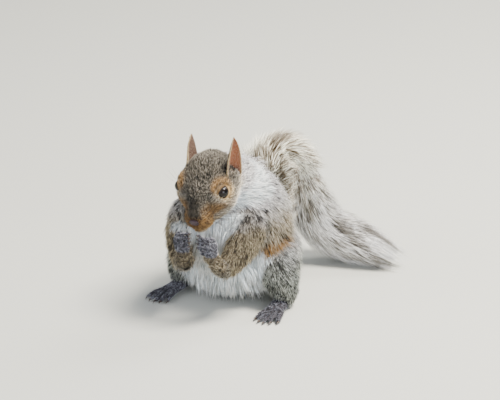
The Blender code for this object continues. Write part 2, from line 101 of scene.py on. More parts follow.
# palm and thumb from the middle of the forepaw (outward, back, up); radii of tubes by step along them
PALM = ((0.9, 4.2, -9.6), (0.9, 2.9, -7.3), (2.0, 1.2, -1.8), (2.9, 0.4, 3.7), (2.9, -0.2, 7.6))
THUMB = ((-1.5, 1.5, -5.0), (-4.2, 0.0, -5.6), (-5.6, -1.4, -4.6))
PALM_RADII = ((0, 5.3), (4, 5.3), (9, 5.1), (13, 3.4))
THUMB_RADII = ((0, 1.9), (7, 1.1))
FINGER_RADII = ((0, 1.5), (5, 1.62), (8, 1.25), (10, 1.5), (13, 1.15), (15, 1.3))
TOE_RADII = ((0, 1.9), (4, 1.75), (7, 1.75), (9, 1.45), (12, 1.6), (13, 1.3))
FORE_CLAW_RADII = ((0, 0.75), (4, 0.5), (8, 0.06))
HIND_CLAW_RADII = ((0, 0.95), (4, 0.6), (8, 0.07))

# middle line of the tail's flesh, from the rump over the top and down to the tip
TAIL_LINE = (
    (-19.2, 14.0, 20.0), (-19.2, 23.3, 23.0), (-19.2, 31.3, 38.0), (-20.2, 35.3, 55.0), (-21.2, 35.8, 71.0),
    (-22.2, 35.3, 86.0), (-22.7, 37.8, 96.5), (-20.2, 45.3, 101.5), (-15.2, 54.3, 98.0), (-10.7, 60.8, 88.0),
    (-7.2, 64.3, 73.0), (-4.6, 69.3, 53.5), (0.6, 75.3, 36.7), (12.2, 81.7, 24.9), (31.8, 87.1, 18.0),
    (51.8, 87.1, 14.3), (69.8, 87.1, 8.1),
)
TAIL_CORE = (8.0, 1.6)               # radius of the flesh at the root and at the end
TAIL_CORE_END = 0.88                 # share of the line that has flesh in it
TAIL_STEPS = 120
TAIL_TURNS = 36
TAIL_LOCKS = 2900
HAIRS_PER_LOCK = 9
LID_HAIRS = 2000       # round each eye

# ears in the head's own frame: forward, outward, upward
EAR_ROOT = {"left": (12.4, 15.8, 5.6), "right": (12.4, 16.4, 6.6)}
EAR_TIP = {"left": (-4.6, 21.4, 34.2), "right": (-4.6, 18.1, 31.4)}
EAR_TURN = {"left": math.radians(7.0), "right": math.radians(17.0)}   # how far each ear is turned forward
EAR_CHORD = (-0.811, 0.14, -0.568)
EAR_OPENING = (0.106, 0.98, 0.197)
EAR_HALF_WIDTH = 8.9
EAR_CUP = 6.0
EAR_WALL = 0.9
EAR_NOTCH = 0.17                     # the ear runs down into a notch by this share of its height
# painted light: the left ear's hollow is painted lighter and warmer than the right, as lit from behind
EAR_PINK = {"left": "#7d4c30", "right": "#65483d"}    # the left one has the light behind it


def srgb(text):
    """Linear colour of a hex value."""
    parts = [int(text[i:i + 2], 16) / 255.0 for i in (1, 3, 5)]
    return np.array([c / 12.92 if c <= 0.04045 else ((c + 0.055) / 1.055) ** 2.4 for c in parts])


def marking(*tones):
    return [srgb(tone) for tone in tones]


# each marking: under fur, main tone, dark band, tip
TONES = ("under", "tone", "band", "tip")
HAIR_STEPS = ((0.02, 0.34), (0.34, 0.46), (0.60, 0.74))   # share of the hair where each next tone begins, and is full
CROWN = marking("#1f1d18", "#353129", "#11100e", "#888174")
BRIDGE = marking("#131109", "#1e1c14", "#0c0b08", "#443e32")
CHEEK = marking("#6b6252", "#aaa18f", "#4f4739", "#ddd6c6")
MUZZLE = marking("#4c3418", "#785730", "#36260f", "#a98855")
EYE_RING = marking("#977a4e", "#c2a67a", "#7f6740", "#eadcb8")
BROW = marking("#563c1b", "#805c29", "#3c2910", "#a98048")
WHITE = marking("#bcc4c8", "#e4ecef", "#b8c1c5", "#ffffff")
NAPE = marking("#827f81", "#b9b7b9", "#464342", "#ffffff")
BACK = marking("#757270", "#b4b2b1", "#454240", "#f8f7f8")
FLANK = marking("#62563f", "#8f8167", "#3a3122", "#d6c9b0")
RUFOUS = marking("#694722", "#8f6632", "#483010", "#c39a63")
TAWNY = marking("#423a2e", "#655a46", "#231d17", "#beb092")
# painted shade: dark grey-brown laid where shade falls, in the fold of the arm, under the forearms and between the
# arms
PAINTED_SHADE = marking("#45423a", "#69655a", "#2a2823", "#aaa598")
LEG = marking("#292b28", "#474a45", "#191b18", "#cdd1c8")
PAW = marking("#2a2b31", "#484952", "#18191d", "#b4b6c0")
TAIL_GREY = marking("#5a5143", "#a49b8b", "#332b20", "#fffdf6")
TAIL_BROWN = marking("#6f5636", "#9d835c", "#433421", "#fff6e2")
EAR_BACK = marking("#3b2c25", "#604a3e", "#2a1f1a", "#8f7663")
EAR_HOLLOW = marking("#6f4635", "#8a5c46", "#6a4334", "#c4a083")
# painted rim light: pale tones along the ear edges
EAR_RIM_LIGHT = marking("#b9a272", "#dccb9a", "#b7a06c", "#f0e7c4")
# white beside the chin, partly the throat's own white fur and partly painted light on the chest: place and reach
THROAT_PATCHES = ((-6.0, -57.0, 76.0, 13.5), (-32.0, -57.0, 76.0, 13.5), (-47.0, -67.0, 71.0, 6.5))


# ---- small tools ----------------------------------------------------------------------------
def unit(v):
    v = np.asarray(v, float)
    return v / np.maximum(np.linalg.norm(v, axis=-1, keepdims=True), 1e-9)


def smooth(low, high, value):
    """0 below `low`, 1 above `high`, with a soft step between; the other way round where low > high."""
    t = np.clip((value - low) / (high - low), 0.0, 1.0)
    return t * t * (3.0 - 2.0 * t)


def bump(centre, reach, value):
    return np.exp(-((value - centre) / reach) ** 2)


def blend(one, other, share):
    return one * (1.0 - share) + other * share


def gap_to(points, spot):
    return np.linalg.norm(points - spot, axis=1)


def flat_on(ways, normals):
    """Ways pressed flat onto the surface that has these normals."""
    return unit(ways - normals * np.sum(ways * normals, axis=1, keepdims=True))


def noise(points, size, seed):
    """Smooth value noise from 0 to 1 whose lumps are about `size` mm across."""
    p = np.asarray(points) / size + 1000.0
    base = np.floor(p).astype(np.int64)
    t = p - base
    t = t * t * (3.0 - 2.0 * t)
    total = np.zeros(len(p))
    for corner in range(8):
        off = np.array([(corner >> k) & 1 for k in range(3)])
        c = base + off
        key = (c[:, 0] * 73856093) ^ (c[:, 1] * 19349663) ^ (c[:, 2] * 83492791) ^ (seed * 2654435761)
        key = (key ^ (key >> 13)) * 1274126177
        value = ((key ^ (key >> 16)) & 65535) / 65535.0
        total += value * np.prod(np.where(off, t, 1.0 - t), axis=1)
    return total


def node_mesh(name):
    """Welded, triangulated copy of a solid's surface: points in mm and faces."""
    bm = bmesh.new()
    bm.from_mesh(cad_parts[name].data)
    bmesh.ops.remove_doubles(bm, verts=bm.verts, dist=1e-6)
    bmesh.ops.triangulate(bm, faces=bm.faces)
    bmesh.ops.recalc_face_normals(bm, faces=bm.faces)
    verts = np.array([v.co for v in bm.verts]) / MM
    faces = np.array([[v.index for v in f.verts] for f in bm.faces])
    bm.free()
    return verts, faces


def vertex_normals(verts, faces):
    tri = verts[faces]
    cross = np.cross(tri[:, 1] - tri[:, 0], tri[:, 2] - tri[:, 0])
    out = np.zeros_like(verts)
    for k in range(3):
        np.add.at(out, faces[:, k], cross)
    return unit(out)


def search_tree(verts, faces):
    return BVHTree.FromPolygons([Vector(v) for v in verts], [tuple(f) for f in faces])


def join(parts):
    starts = np.cumsum([0] + [len(v) for v, f in parts])
    return (np.concatenate([v for v, f in parts]),
            np.concatenate([np.asarray(f) + start for (v, f), start in zip(parts, starts)]))


def ring_faces(rows, columns):
    """Triangles between rows + 1 rings of points, facing out where the rings run right-handed about their line."""
    faces = []
    for i in range(rows):
        for j in range(columns):
            a = i * columns + j
            b = i * columns + (j + 1) % columns
            faces += [(a, b, b + columns), (a, b + columns, a + columns)]
    return faces


def tube(points, radii, sides=12):
    """Closed tube with pointed ends along a line."""
    points = np.asarray(points, float)
    tangent = unit(np.gradient(points, axis=0))
    side = unit(np.cross(tangent[0], (0.3, 0.2, 0.93)))
    angle = np.arange(sides) * 2.0 * math.pi / sides
    verts = []
    for spot, way, radius in zip(points, tangent, radii):
        side = unit(side - way * np.dot(side, way))
        ring = np.outer(np.cos(angle), side) + np.outer(np.sin(angle), np.cross(way, side))
        verts.append(spot + ring * radius)
    verts += [points[:1] - tangent[:1] * radii[0], points[-1:] + tangent[-1:] * radii[-1]]
    faces = ring_faces(len(points) - 1, sides)
    last = (len(points) - 1) * sides
    ends = last + sides
    for j in range(sides):
        k = (j + 1) % sides
        faces += [(ends, k, j), (ends + 1, last + j, last + k)]
    return np.concatenate(verts), np.array(faces)


def ball(centre, radius, axes, rows, columns, shape=lambda polar: 1.0):
    """Closed round body; `shape` gives the radius factor by the angle from the pole, the first of the axes."""
    pole, one, two = axes
    verts = []
    for i in range(rows + 1):
        polar = math.radians(180.0 * i / rows)
        for j in range(columns):
            turn = 2.0 * math.pi * j / columns
            spot = pole * math.cos(polar) + (one * math.cos(turn) + two * math.sin(turn)) * math.sin(polar)
            verts.append(centre + spot * radius * shape(polar))
    return np.array(verts), np.array(ring_faces(rows, columns))[:, [0, 2, 1]]


def mesh_object(name, verts, faces, attributes=None, shade=True):
    """Object from points in mm and triangles, with named colours at its points."""
    mesh = bpy.data.meshes.new(name)
    verts = np.asarray(verts, np.float32) * MM
    faces = np.asarray(faces, np.int32)
    mesh.vertices.add(len(verts))
    mesh.vertices.foreach_set("co", verts.ravel())
    mesh.loops.add(faces.size)
    mesh.loops.foreach_set("vertex_index", faces.ravel())
    mesh.polygons.add(len(faces))
    mesh.polygons.foreach_set("loop_start", np.arange(len(faces), dtype=np.int32) * 3)
    mesh.update(calc_edges=True)
    mesh.validate()
    for key, values in (attributes or {}).items():
        colours = np.ones((len(values), 4), np.float32)
        colours[:, :3] = values
        layer = mesh.attributes.new(key, "FLOAT_COLOR", "POINT")
        layer.data.foreach_set("color", colours.ravel())
    mesh.polygons.foreach_set("use_smooth", np.full(len(mesh.polygons), shade))
    obj = bpy.data.objects.new(name, mesh)
    bpy.context.scene.collection.objects.link(obj)
    return obj


def place(obj, material, nodes):
    obj.data.materials.append(material)
    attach(obj, "root")
    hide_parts(*nodes)


# ---- where the parts of the body are --------------------------------------------------------
def centre_of(name):
    low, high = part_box(name)
    return (np.array(low) + np.array(high)) * 0.5 / MM


def both(*names):
    return [f"{name}_{side}" for name in names for side, sign in SIDES]


def kind_of(node):
    """Name of a solid without its side or number."""
    return "tail" if node.startswith("tail") else node.removesuffix("_left").removesuffix("_right")


EYES = {side: centre_of("eye_" + side) for side, sign in SIDES}
HEAD_SIDE = unit(EYES["left"] - EYES["right"])
HEAD_LINE = np.array((0.0, -math.cos(HEAD_PITCH), -math.sin(HEAD_PITCH)))
HEAD_LINE = unit(HEAD_LINE - HEAD_SIDE * HEAD_LINE.dot(HEAD_SIDE))
HEAD_UP = np.cross(HEAD_LINE, HEAD_SIDE)
SKULL = centre_of("nose") - HEAD_LINE * NOSE_ALONG - HEAD_UP * NOSE_RISE
NOSE = centre_of("nose") + HEAD_SIDE * HEAD_BEND
TAILS = [f"tail_{k}" for k in range(1, 6)]
PAWS = both("forepaw", "hind_foot")
HEAD = ["head", "lower_jaw"]
FLESH = HEAD + ["neck", "trunk"] + both("upper_arm", "forearm", "thigh", "lower_leg")
LABELS = FLESH + PAWS + ["tail"]
NAPE_SPOT = centre_of("neck") + np.array((0.0, -8.0, 22.0))
TRUNK_MIDDLE = centre_of("trunk")


def head_bend(along):
    return HEAD_BEND * np.clip((along - BEND_MIDDLE) / BEND_REACH, -1.0, 1.0)


def head_coords(points):
    """Place in the head's own frame: along it from the back of the skull, to its left, up."""
    rel = points - SKULL
    along = rel @ HEAD_LINE
    return along, rel @ HEAD_SIDE - head_bend(along), rel @ HEAD_UP


def head_place(along, out, rise):
    return SKULL + HEAD_LINE * along + HEAD_SIDE * (out + head_bend(along)) + HEAD_UP * rise


def head_turn(along, out, rise):
    return unit(HEAD_LINE * along + HEAD_SIDE * out + HEAD_UP * rise)


def eye_frame(sign):
    """The way the eye looks, and two ways across it: along the head and over it."""
    pole = head_turn(EYE_AXIS[0], EYE_AXIS[1] * sign, EYE_AXIS[2])
    one = unit(HEAD_LINE - pole * HEAD_LINE.dot(pole))
    return pole, one, np.cross(pole, one)


EYE_FRAMES = {side: eye_frame(sign) for side, sign in SIDES}
EAR_HOLLOWS = {side: head_place(EAR_ROOT[side][0] - 1.0, (EAR_ROOT[side][1] + 3.2) * sign, EAR_ROOT[side][2] + 4.0)
               for side, sign in SIDES}


# ---- middle line of the tail ----------------------------------------------------------------
def along_line(points, count):
    """Even, rounded resampling of a line, and its length."""
    points = np.asarray(points, float)
    ext = np.concatenate([2 * points[:1] - points[1:2], points, 2 * points[-1:] - points[-2:-1]])
    fine = []
    for k in range(len(points) - 1):
        p0, p1, p2, p3 = ext[k:k + 4]
        for t in np.arange(0.0, 1.0, 0.05):
            fine.append(0.5 * (2 * p1 + (p2 - p0) * t + (2 * p0 - 5 * p1 + 4 * p2 - p3) * t * t
                               + (3 * p1 - p0 - 3 * p2 + p3) * t ** 3))
    fine = np.array(fine + [points[-1]])
    run = np.concatenate([[0.0], np.cumsum(np.linalg.norm(np.diff(fine, axis=0), axis=1))])
    even = np.linspace(0.0, run[-1], count)
    return np.stack([np.interp(even, run, fine[:, k]) for k in range(3)], axis=1), run[-1]


tail_mid, tail_run = along_line(TAIL_LINE, TAIL_STEPS)
tail_tangent = unit(np.gradient(tail_mid, axis=0))
tail_side = np.zeros_like(tail_mid)
carried = np.array((1.0, 0.0, 0.0))
for step in range(TAIL_STEPS):
    carried = unit(carried - tail_tangent[step] * carried.dot(tail_tangent[step]))
    tail_side[step] = carried
tail_other = np.cross(tail_tangent, tail_side)


def core_radius(share):
    """Radius of the tail's flesh by its share of the way to the end."""
    return TAIL_CORE[0] + (TAIL_CORE[1] - TAIL_CORE[0]) * share ** 0.8


def tail_reach(start=2.0, far=42.0):
    """How far the tail's solids reach from its middle line, by place along it and turn about it."""
    tree = search_tree(*join([node_mesh(name) for name in TAILS]))
    table = np.full((TAIL_STEPS, TAIL_TURNS), np.nan)
    for i in range(TAIL_STEPS):
        for j in range(TAIL_TURNS):
            turn = 2.0 * math.pi * j / TAIL_TURNS
            ray = tail_side[i] * math.cos(turn) + tail_other[i] * math.sin(turn)
            hit = tree.ray_cast(Vector(tail_mid[i] + ray * start), Vector(ray), far)
            if hit[0] is not None:
                table[i, j] = hit[3] + start
    steps = np.arange(TAIL_STEPS)
    for j in range(TAIL_TURNS):
        known = ~np.isnan(table[:, j])
        table[:, j] = np.interp(steps, steps[known], table[known, j])
    for _ in range(3):
        table = 0.5 * table + 0.25 * (np.roll(table, 1, 1) + np.roll(table, -1, 1))
        table[1:-1] = 0.5 * table[1:-1] + 0.25 * (table[:-2] + table[2:])
    return table


TAIL_REACH = tail_reach()


# ---- one skin over the whole body -----------------------------------------------------------
def limb(points, stations, sides):
    """Tube along a rounded line; the stations pair a step along it with the radius there."""
    steps, radii = zip(*stations)
    count = steps[-1] + 1
    return tube(along_line(points, count)[0], np.interp(np.arange(count), steps, radii), sides)


def digit(paw, side, sign, k):
    """Points along a finger or toe, from the knuckle to the claw at its tip."""
    spread = (k - 3.0) * sign
    tip_of = {"fore": (2.3 * sign, 0.1, 0.3), "hind": (0.0, 3.4, 0.5)}
    steps = {"fore": ((10.2 * sign, 3.6, -3.2), (6.9 * sign, -0.6, -2.0), (3.3 * sign, -2.3, -0.9)),
             "hind": ((-spread * 2.2, 14.5, 1.6), (-spread * 0.7, 5.4, 1.9))}
    tip = centre_of(f"claw_{paw}_{side}_{k}") + np.array(tip_of[paw])
    return [tip + np.array(step) for step in steps[paw]] + [tip]


def paw_tubes():
    """Palm, thumb and four curled fingers of each forepaw, and five toes of each hind foot."""
    parts = []
    for side, sign in SIDES:
        middle = centre_of("forepaw_" + side)
        for line, radii, sides in ((PALM, PALM_RADII, 20), (THUMB, THUMB_RADII, 12)):
            parts.append(limb([middle + np.array((x * sign, y, z)) for x, y, z in line], radii, sides))
        parts += [limb(digit("fore", side, sign, k), FINGER_RADII, 12) for k in range(1, 5)]
        parts += [limb(digit("hind", side, sign, k), TOE_RADII, 12) for k in range(1, 6)]
    return parts


# middle lines of the fingers and toes, kept by paw
FINGERS = []
for side, sign in SIDES:
    FINGERS.append([along_line(digit("fore", side, sign, k), 12)[0] for k in range(1, 5)])
    FINGERS.append([along_line(digit("hind", side, sign, k)[::2], 12)[0] for k in range(1, 6)])


def finger_groove_shade(p):
    """Painted shade in the grooves between neighbouring fingers or toes: 1 there, 0 along their backs and away from
    the paws.
    """
    out = np.zeros(len(p))
    for lines in FINGERS:
        near = np.sort([np.linalg.norm(p[:, None] - line[None], axis=2).min(axis=1) for line in lines], axis=0)
        out = np.maximum(out, smooth(1.0, 0.35, near[1] - near[0]) * smooth(5.5, 3.5, near[0]))
    return out


def remeshed(parts, voxel):
    """Closed surface round all the parts together."""
    raw = mesh_object("flesh", *join(parts))
    remesh = raw.modifiers.new("remesh", "REMESH")
    remesh.mode = "VOXEL"
    remesh.voxel_size = voxel * MM
    graph = bpy.context.evaluated_depsgraph_get()
    mesh = bpy.data.meshes.new_from_object(raw.evaluated_get(graph))
    bpy.data.objects.remove(raw)
    mesh.calc_loop_triangles()
    verts = np.zeros(len(mesh.vertices) * 3, np.float32)
    mesh.vertices.foreach_get("co", verts)
    faces = np.zeros(len(mesh.loop_triangles) * 3, np.int32)
    mesh.loop_triangles.foreach_get("vertices", faces)
    return verts.reshape(-1, 3).astype(float) / MM, faces.reshape(-1, 3)


def skin_arrays():
    parts = []
    for name in FLESH:
        verts, faces = node_mesh(name)
        parts.append((verts + vertex_normals(verts, faces) * CLOSE_GAPS, faces))
    for side, sign in SIDES:
        verts, faces = node_mesh("eye_" + side)
        parts.append((EYES[side] + (verts - EYES[side]) * 0.92, faces))
    parts.append(tube(tail_mid[:CORE_STEPS], core_radius(np.linspace(0.0, 1.0, CORE_STEPS)), 16))
    paws = [node_mesh(name) for name in both("hind_foot")] + paw_tubes()
    return join([remeshed(parts, SKIN_VOXEL), remeshed(paws, PAW_VOXEL)])


CORE_STEPS = int(TAIL_STEPS * TAIL_CORE_END)
skin_v, skin_f = skin_arrays()
skin_edges = np.unique(np.sort(np.concatenate([skin_f[:, :2], skin_f[:, 1:], skin_f[:, ::2]]), axis=1), axis=0)
skin_degree = np.maximum(np.bincount(skin_edges.ravel(), minlength=len(skin_v)), 1).astype(float)


def neighbours(values):
    """Mean of the neighbours of each point of the skin."""
    total = np.zeros_like(values)
    for k in range(values.shape[1]):
        column = values[:, k]
        total[:, k] = np.bincount(skin_edges[:, 0], column[skin_edges[:, 1]], len(values))
        total[:, k] += np.bincount(skin_edges[:, 1], column[skin_edges[:, 0]], len(values))
    return total / skin_degree[:, None]


def skin_normals(softening):
    normals = vertex_normals(skin_v, skin_f)
    for _ in range(softening):
        normals = unit(normals + neighbours(normals))
    return normals


def part_weights():
    """How much each point of the skin belongs to each part of the body, blended where parts meet."""
    solids = [node_mesh(name) for name in FLESH + PAWS]
    solids.append(tube(tail_mid[8:CORE_STEPS], np.full(CORE_STEPS - 8, 6.0), 16))
    owner = np.concatenate([np.full(len(f), k) for k, (v, f) in enumerate(solids)])
    tree = search_tree(*join(solids))
    nearest = np.array([owner[tree.find_nearest(Vector(v))[2]] for v in skin_v])
    out = np.zeros((len(skin_v), len(LABELS)))
    out[np.arange(len(skin_v)), nearest] = 1.0
    for _ in range(WEIGHT_SMOOTHING):
        out = 0.4 * out + 0.6 * neighbours(out)
    return out


def weight_of(rows, *names):
    return sum(rows[:, LABELS.index(name)] for name in names)


weights = part_weights()
head_share = weight_of(weights, *HEAD)
skin_v = skin_v + HEAD_SIDE * (head_bend((skin_v - SKULL) @ HEAD_LINE) * head_share)[:, None]
fine_parts = weight_of(weights, *PAWS)
muzzle_part = smooth(33.0, 43.0, head_coords(skin_v)[0]) * smooth(0.3, 0.7, head_share)
ease = ((1.0 - 0.9 * smooth(0.15, 0.7, fine_parts)) * (1.0 - 0.9 * muzzle_part))[:, None]
for _ in range(SKIN_SMOOTHING):
    skin_v = skin_v + ease * 0.6 * (neighbours(skin_v) - skin_v)


def belly_mask(p):
    """White of the chest and belly, ending in a line that rises towards the chest."""
    wave = (noise(p, 9.0, 4) - 0.5) * 7.0
    edge = 47.0 + 1.7 * np.maximum(-p[:, 1] - 38.0, 0.0) + wave
    return smooth(-2.5, 2.5, edge - p[:, 2]) * smooth(-6.0, 2.0, -p[:, 1] - 4.0)


def belly_part(p, w):
    return belly_mask(p) * smooth(0.45, 0.8, weight_of(w, "trunk"))


def coat_sizes(p, w):
    """Coat depth, length, width, density, lock size and pull at each point."""
    table = np.array([COAT[kind_of(name)] for name in LABELS])
    out = (w / w.sum(axis=1, keepdims=True)) @ table
    out = blend(out, np.array(BELLY_COAT), belly_part(p, w)[:, None])
    face = smooth(37.0, 46.0, head_coords(p)[0])
    for eye in EYES.values():
        face = np.maximum(face, 0.8 * smooth(11.5, 7.5, gap_to(p, eye)))
    return blend(out, np.array(FACE_COAT), (face * smooth(0.3, 0.7, weight_of(w, *HEAD)))[:, None])


def shape_face(p, n):
    """Mouth line, cleft of the upper lip and the pads the whiskers grow from."""
    along, side, rise = head_coords(p)
    mouth_rise = -7.2 + 0.10 * (along - 41.0)
    groove = bump(0.0, 0.75, rise - mouth_rise) * smooth(36.0, 41.0, along) * smooth(40.0, 43.0, along)
    cleft = bump(0.0, 0.7, side) * smooth(51.0, 54.0, along) * smooth(-8.0, -5.0, rise) * smooth(1.0, -1.0, rise)
    pads = sum(np.exp(-(((along - 52.0) / 5.0) ** 2 + ((side - 7.0 * sign) / 4.0) ** 2 + ((rise + 3.0) / 4.5) ** 2))
               for name, sign in SIDES)
    return p + n * (2.8 * pads - 0.9 * groove - 0.6 * cleft)[:, None]


# the skin lies under the tips of the coat by its depth, less at the muzzle and round the eyes
depth = coat_sizes(skin_v, weights)[:, :1]
for _ in range(20):
    depth = 0.5 * depth + 0.5 * neighbours(depth)
depth *= 1.0 - 0.75 * muzzle_part[:, None]
crown_drop = CROWN_DROP * smooth(3.0, 13.0, head_coords(skin_v)[2]) * smooth(0.3, 0.8, weight_of(weights, "head"))
for eye in EYES.values():
    depth *= 1.0 - 0.85 * smooth(14.0, 9.0, gap_to(skin_v, eye))[:, None]
    crown_drop *= smooth(7.0, 13.0, gap_to(skin_v, eye))
skin_v = skin_v - skin_normals(8) * (depth + crown_drop[:, None])
for _ in range(4):
    skin_v = skin_v + ease * 0.5 * (neighbours(skin_v) - skin_v)
skin_v = shape_face(skin_v, skin_normals(0))
skin_n = skin_normals(4)


# ---- lie and markings of the coat -----------------------------------------------------------
# The bounds in the masks are in mm: on the head along it from the back of the skull, out from its middle
# and up, elsewhere in the shared frame. Shares of the body's parts run from 0 to 1.
def lie(p, n, w):
    """Direction the hairs point, along the skin."""
    rise = head_coords(p)[2]
    from_nose = unit(p - head_place(60.0, 0.0, 0.0))
    head_way = from_nose * 0.7 - HEAD_LINE * 0.5 - HEAD_UP * (0.3 * smooth(6.0, -4.0, rise))[:, None]
    neck_way = unit(-HEAD_LINE * 0.7 + np.array((0.0, 0.25, -0.6)))
    trunk_way = unit(unit(p - NAPE_SPOT) + np.array((0.0, 0.15, -0.65)))
    out = head_way * weight_of(w, *HEAD)[:, None] + neck_way * weight_of(w, "neck")[:, None]
    out += trunk_way * weight_of(w, "trunk")[:, None]
    for name, sign in SIDES:
        for part, way in LIMB_LIE.items():
            out += unit(np.array(way) * (sign, 1.0, 1.0)) * weight_of(w, f"{part}_{name}")[:, None]
    out += np.array((0.0, 0.2, 1.0)) * weight_of(w, "tail")[:, None]
    for eye in EYES.values():
        out += unit(p - eye) * (0.8 * smooth(12.0, 6.0, gap_to(p, eye)))[:, None]
    out += 0.35 * np.stack([noise(p, 16.0, seed) - 0.5 for seed in (11, 12, 13)], axis=1)
    return flat_on(out, n)


def layered(base, layers, count):
    """Four tones at each point: a base marking with the layers over it, each by its own mask."""
    tones = [np.tile(colour, (count, 1)) for colour in base]
    for over, mask in layers:
        tones = [tone + (colour - tone) * mask[:, None] for tone, colour in zip(tones, over)]
    return tones


def head_markings(p, lumps):
    """Grizzled crown over a forehead darkened with painted shade, dark bridge, buff cheeks, orange muzzle and brow,
    pale ring round the eye.
    """
    along, side, rise = head_coords(p)
    width = np.abs(side)
    cheek = smooth(6.0, -2.0, rise + 3.0 * lumps) * smooth(9.0, 14.0, width)
    # painted shade: the forehead darker than the crown, which takes the light from above
    forehead = smooth(12.0, 24.0, along) * smooth(42.0, 32.0, along) * smooth(17.0, 12.0, width)
    beside = smooth(38.0, 44.0, along) * smooth(3.4, 6.2, width) * smooth(9.5, 5.5, rise)
    before_eye = (smooth(31.0, 36.0, along) * smooth(46.0, 41.0, along)
                  * smooth(6.0, 9.0, width) * smooth(13.0, 9.0, rise))
    bridge = smooth(43.0, 49.0, along) * smooth(5.2, 2.6, width) * smooth(0.0, 3.0, rise)
    muzzle = smooth(46.5, 52.0, along) * smooth(4.8, 2.2, rise)
    orange = bump(43.0, 6.0, along) * bump(2.0, 3.8, rise) * smooth(5.0, 8.5, width)
    streak = smooth(0.0, -3.0, rise) * smooth(53.0, 47.0, along) * smooth(6.0, 9.0, width)
    layers = [(CHEEK, 0.85 * cheek), (BRIDGE, 0.5 * forehead), (MUZZLE, 0.5 * beside), (CHEEK, 0.5 * before_eye),
              (BRIDGE, bridge), (MUZZLE, muzzle), (BROW, 0.85 * orange), (CHEEK, 0.85 * streak)]
    for eye in EYES.values():
        gap = gap_to(p, eye)
        above = smooth(-2.0, 4.0, (p - eye) @ HEAD_UP)
        layers.append((BROW, 0.9 * bump(7.0, 2.2, gap) * above * smooth(9.0, 12.5, width)))
        layers.append((EYE_RING, bump(6.2, 1.7, gap) * (1.0 - 0.88 * above)))
    lip = smooth(-3.5, -6.0, rise) * smooth(38.0, 44.0, along) * smooth(0.0, 3.0, width)
    chin = smooth(-8.5, -10.0, rise) + smooth(-4.0, -9.5, rise) * smooth(44.0, 34.0, along)
    behind = smooth(16.0, 4.0, along) * smooth(10.0, -4.0, rise)
    layers += [(EYE_RING, 0.55 * lip), (WHITE, np.clip(chin, 0.0, 1.0)), (NAPE, 0.8 * behind)]
    return layered(CROWN, layers, len(p))


def markings(p, w):
    """Under fur, main tone, dark band and tip colour at each point of the body; the darks by and between the arms are
    painted shade, and the white patches beside the chin partly painted light.
    """
    x, y, z = p.T
    lumps = noise(p, 7.0, 21) - 0.5
    ragged = z + 8.0 * lumps
    trunk = smooth(0.3, 0.7, weight_of(w, "trunk", "neck"))
    belly = belly_mask(p) * trunk
    arms = weight_of(w, *both("upper_arm"))
    fore = smooth(0.3, 0.7, weight_of(w, *both("forearm", "forepaw")))
    legs = smooth(0.25, 0.7, weight_of(w, *both("thigh", "lower_leg")))
    leg_high = 52.0 + 8.0 * lumps
    # painted shade in the fold between the upper arm and the flank
    arm_fold_shade = smooth(0.12, 0.4, arms) * smooth(0.85, 0.5, arms) * smooth(96.0, 80.0, z)
    layers = [
        (NAPE, smooth(76.0, 100.0, ragged) * smooth(30.0, -20.0, y)),
        (FLANK, 0.9 * smooth(92.0, 72.0, ragged) * smooth(4.0, -14.0, y) * trunk),
        (WHITE, belly),
        (TAWNY, smooth(0.35, 0.8, arms) * smooth(91.0, 70.0, ragged)),
        (PAINTED_SHADE, 0.8 * arm_fold_shade),
        (TAWNY, fore),
        # painted shade on the lower forearms
        (PAINTED_SHADE, 0.7 * fore * smooth(48.0, 40.0, z)),
        (LEG, legs * (0.30 + 0.70 * smooth(leg_high, leg_high - 16.0, z))),
    ]
    for name, sign in SIDES:
        spot = np.array((TRUNK_MIDDLE[0] + 38.0 * sign, -30.0, 55.0))
        apart = np.linalg.norm((p - spot) / np.array((14.0, 15.0, 6.5)), axis=1)
        layers.append((RUFOUS, 0.85 * smooth(1.35, 0.35, apart + 0.9 * lumps) * (1.0 - belly)))
    wrist = smooth(57.5, 61.0, z)
    paws = smooth(0.25, 0.7, weight_of(w, *both("forepaw")) * wrist + weight_of(w, *both("hind_foot")))
    throat = smooth(0.3, 0.7, weight_of(w, "neck", "lower_jaw", "head")) * smooth(-9.5, -13.5, head_coords(p)[2])
    layers += [(PAW, paws), (WHITE, throat)]
    # white patches beside the chin: partly the throat's own white fur, partly painted light on the chest
    for *spot, reach in THROAT_PATCHES:
        patch = smooth(reach, 0.6 * reach, gap_to(p, np.array(spot)) + 5.0 * lumps)
        layers.append((WHITE, patch * (1.0 - paws) * (1.0 - fore)))
    # painted shade on the chest between the arms, where the arms close over it
    shade_between_arms = bump(TRUNK_MIDDLE[0], 12.0, x) * bump(60.0, 13.0, z) * smooth(-40.0, -58.0, y)
    layers.append((PAINTED_SHADE, 0.6 * shade_between_arms * trunk))
    layers.append((head_markings(p, lumps), smooth(0.25, 0.75, weight_of(w, *HEAD))))
    layers.append((TAIL_BROWN, smooth(0.3, 0.7, weight_of(w, "tail"))))
    return layered(BACK, layers, len(p))


# ---- materials ------------------------------------------------------------------------------
def add(tree, kind, settings=None, links=None):
    """One node with its settings by name or input, and links into its inputs."""
    node = tree.nodes.new(kind)
    for key, value in (settings or {}).items():
        if isinstance(key, str) and hasattr(node, key):
            setattr(node, key, value)
        else:
            node.inputs[key].default_value = value
    for key, source in (links or {}).items():
        tree.links.new(source, node.inputs[key])
    return node


def surface(name, settings):
    material = bpy.data.materials.new(name)
    material.use_nodes = True
    tree = material.node_tree
    shader = tree.nodes["Principled BSDF"]
    for key, value in settings.items():
        shader.inputs[key].default_value = value
    return material, tree, shader


def rgba(text):
    return (*map(float, srgb(text)), 1.0)


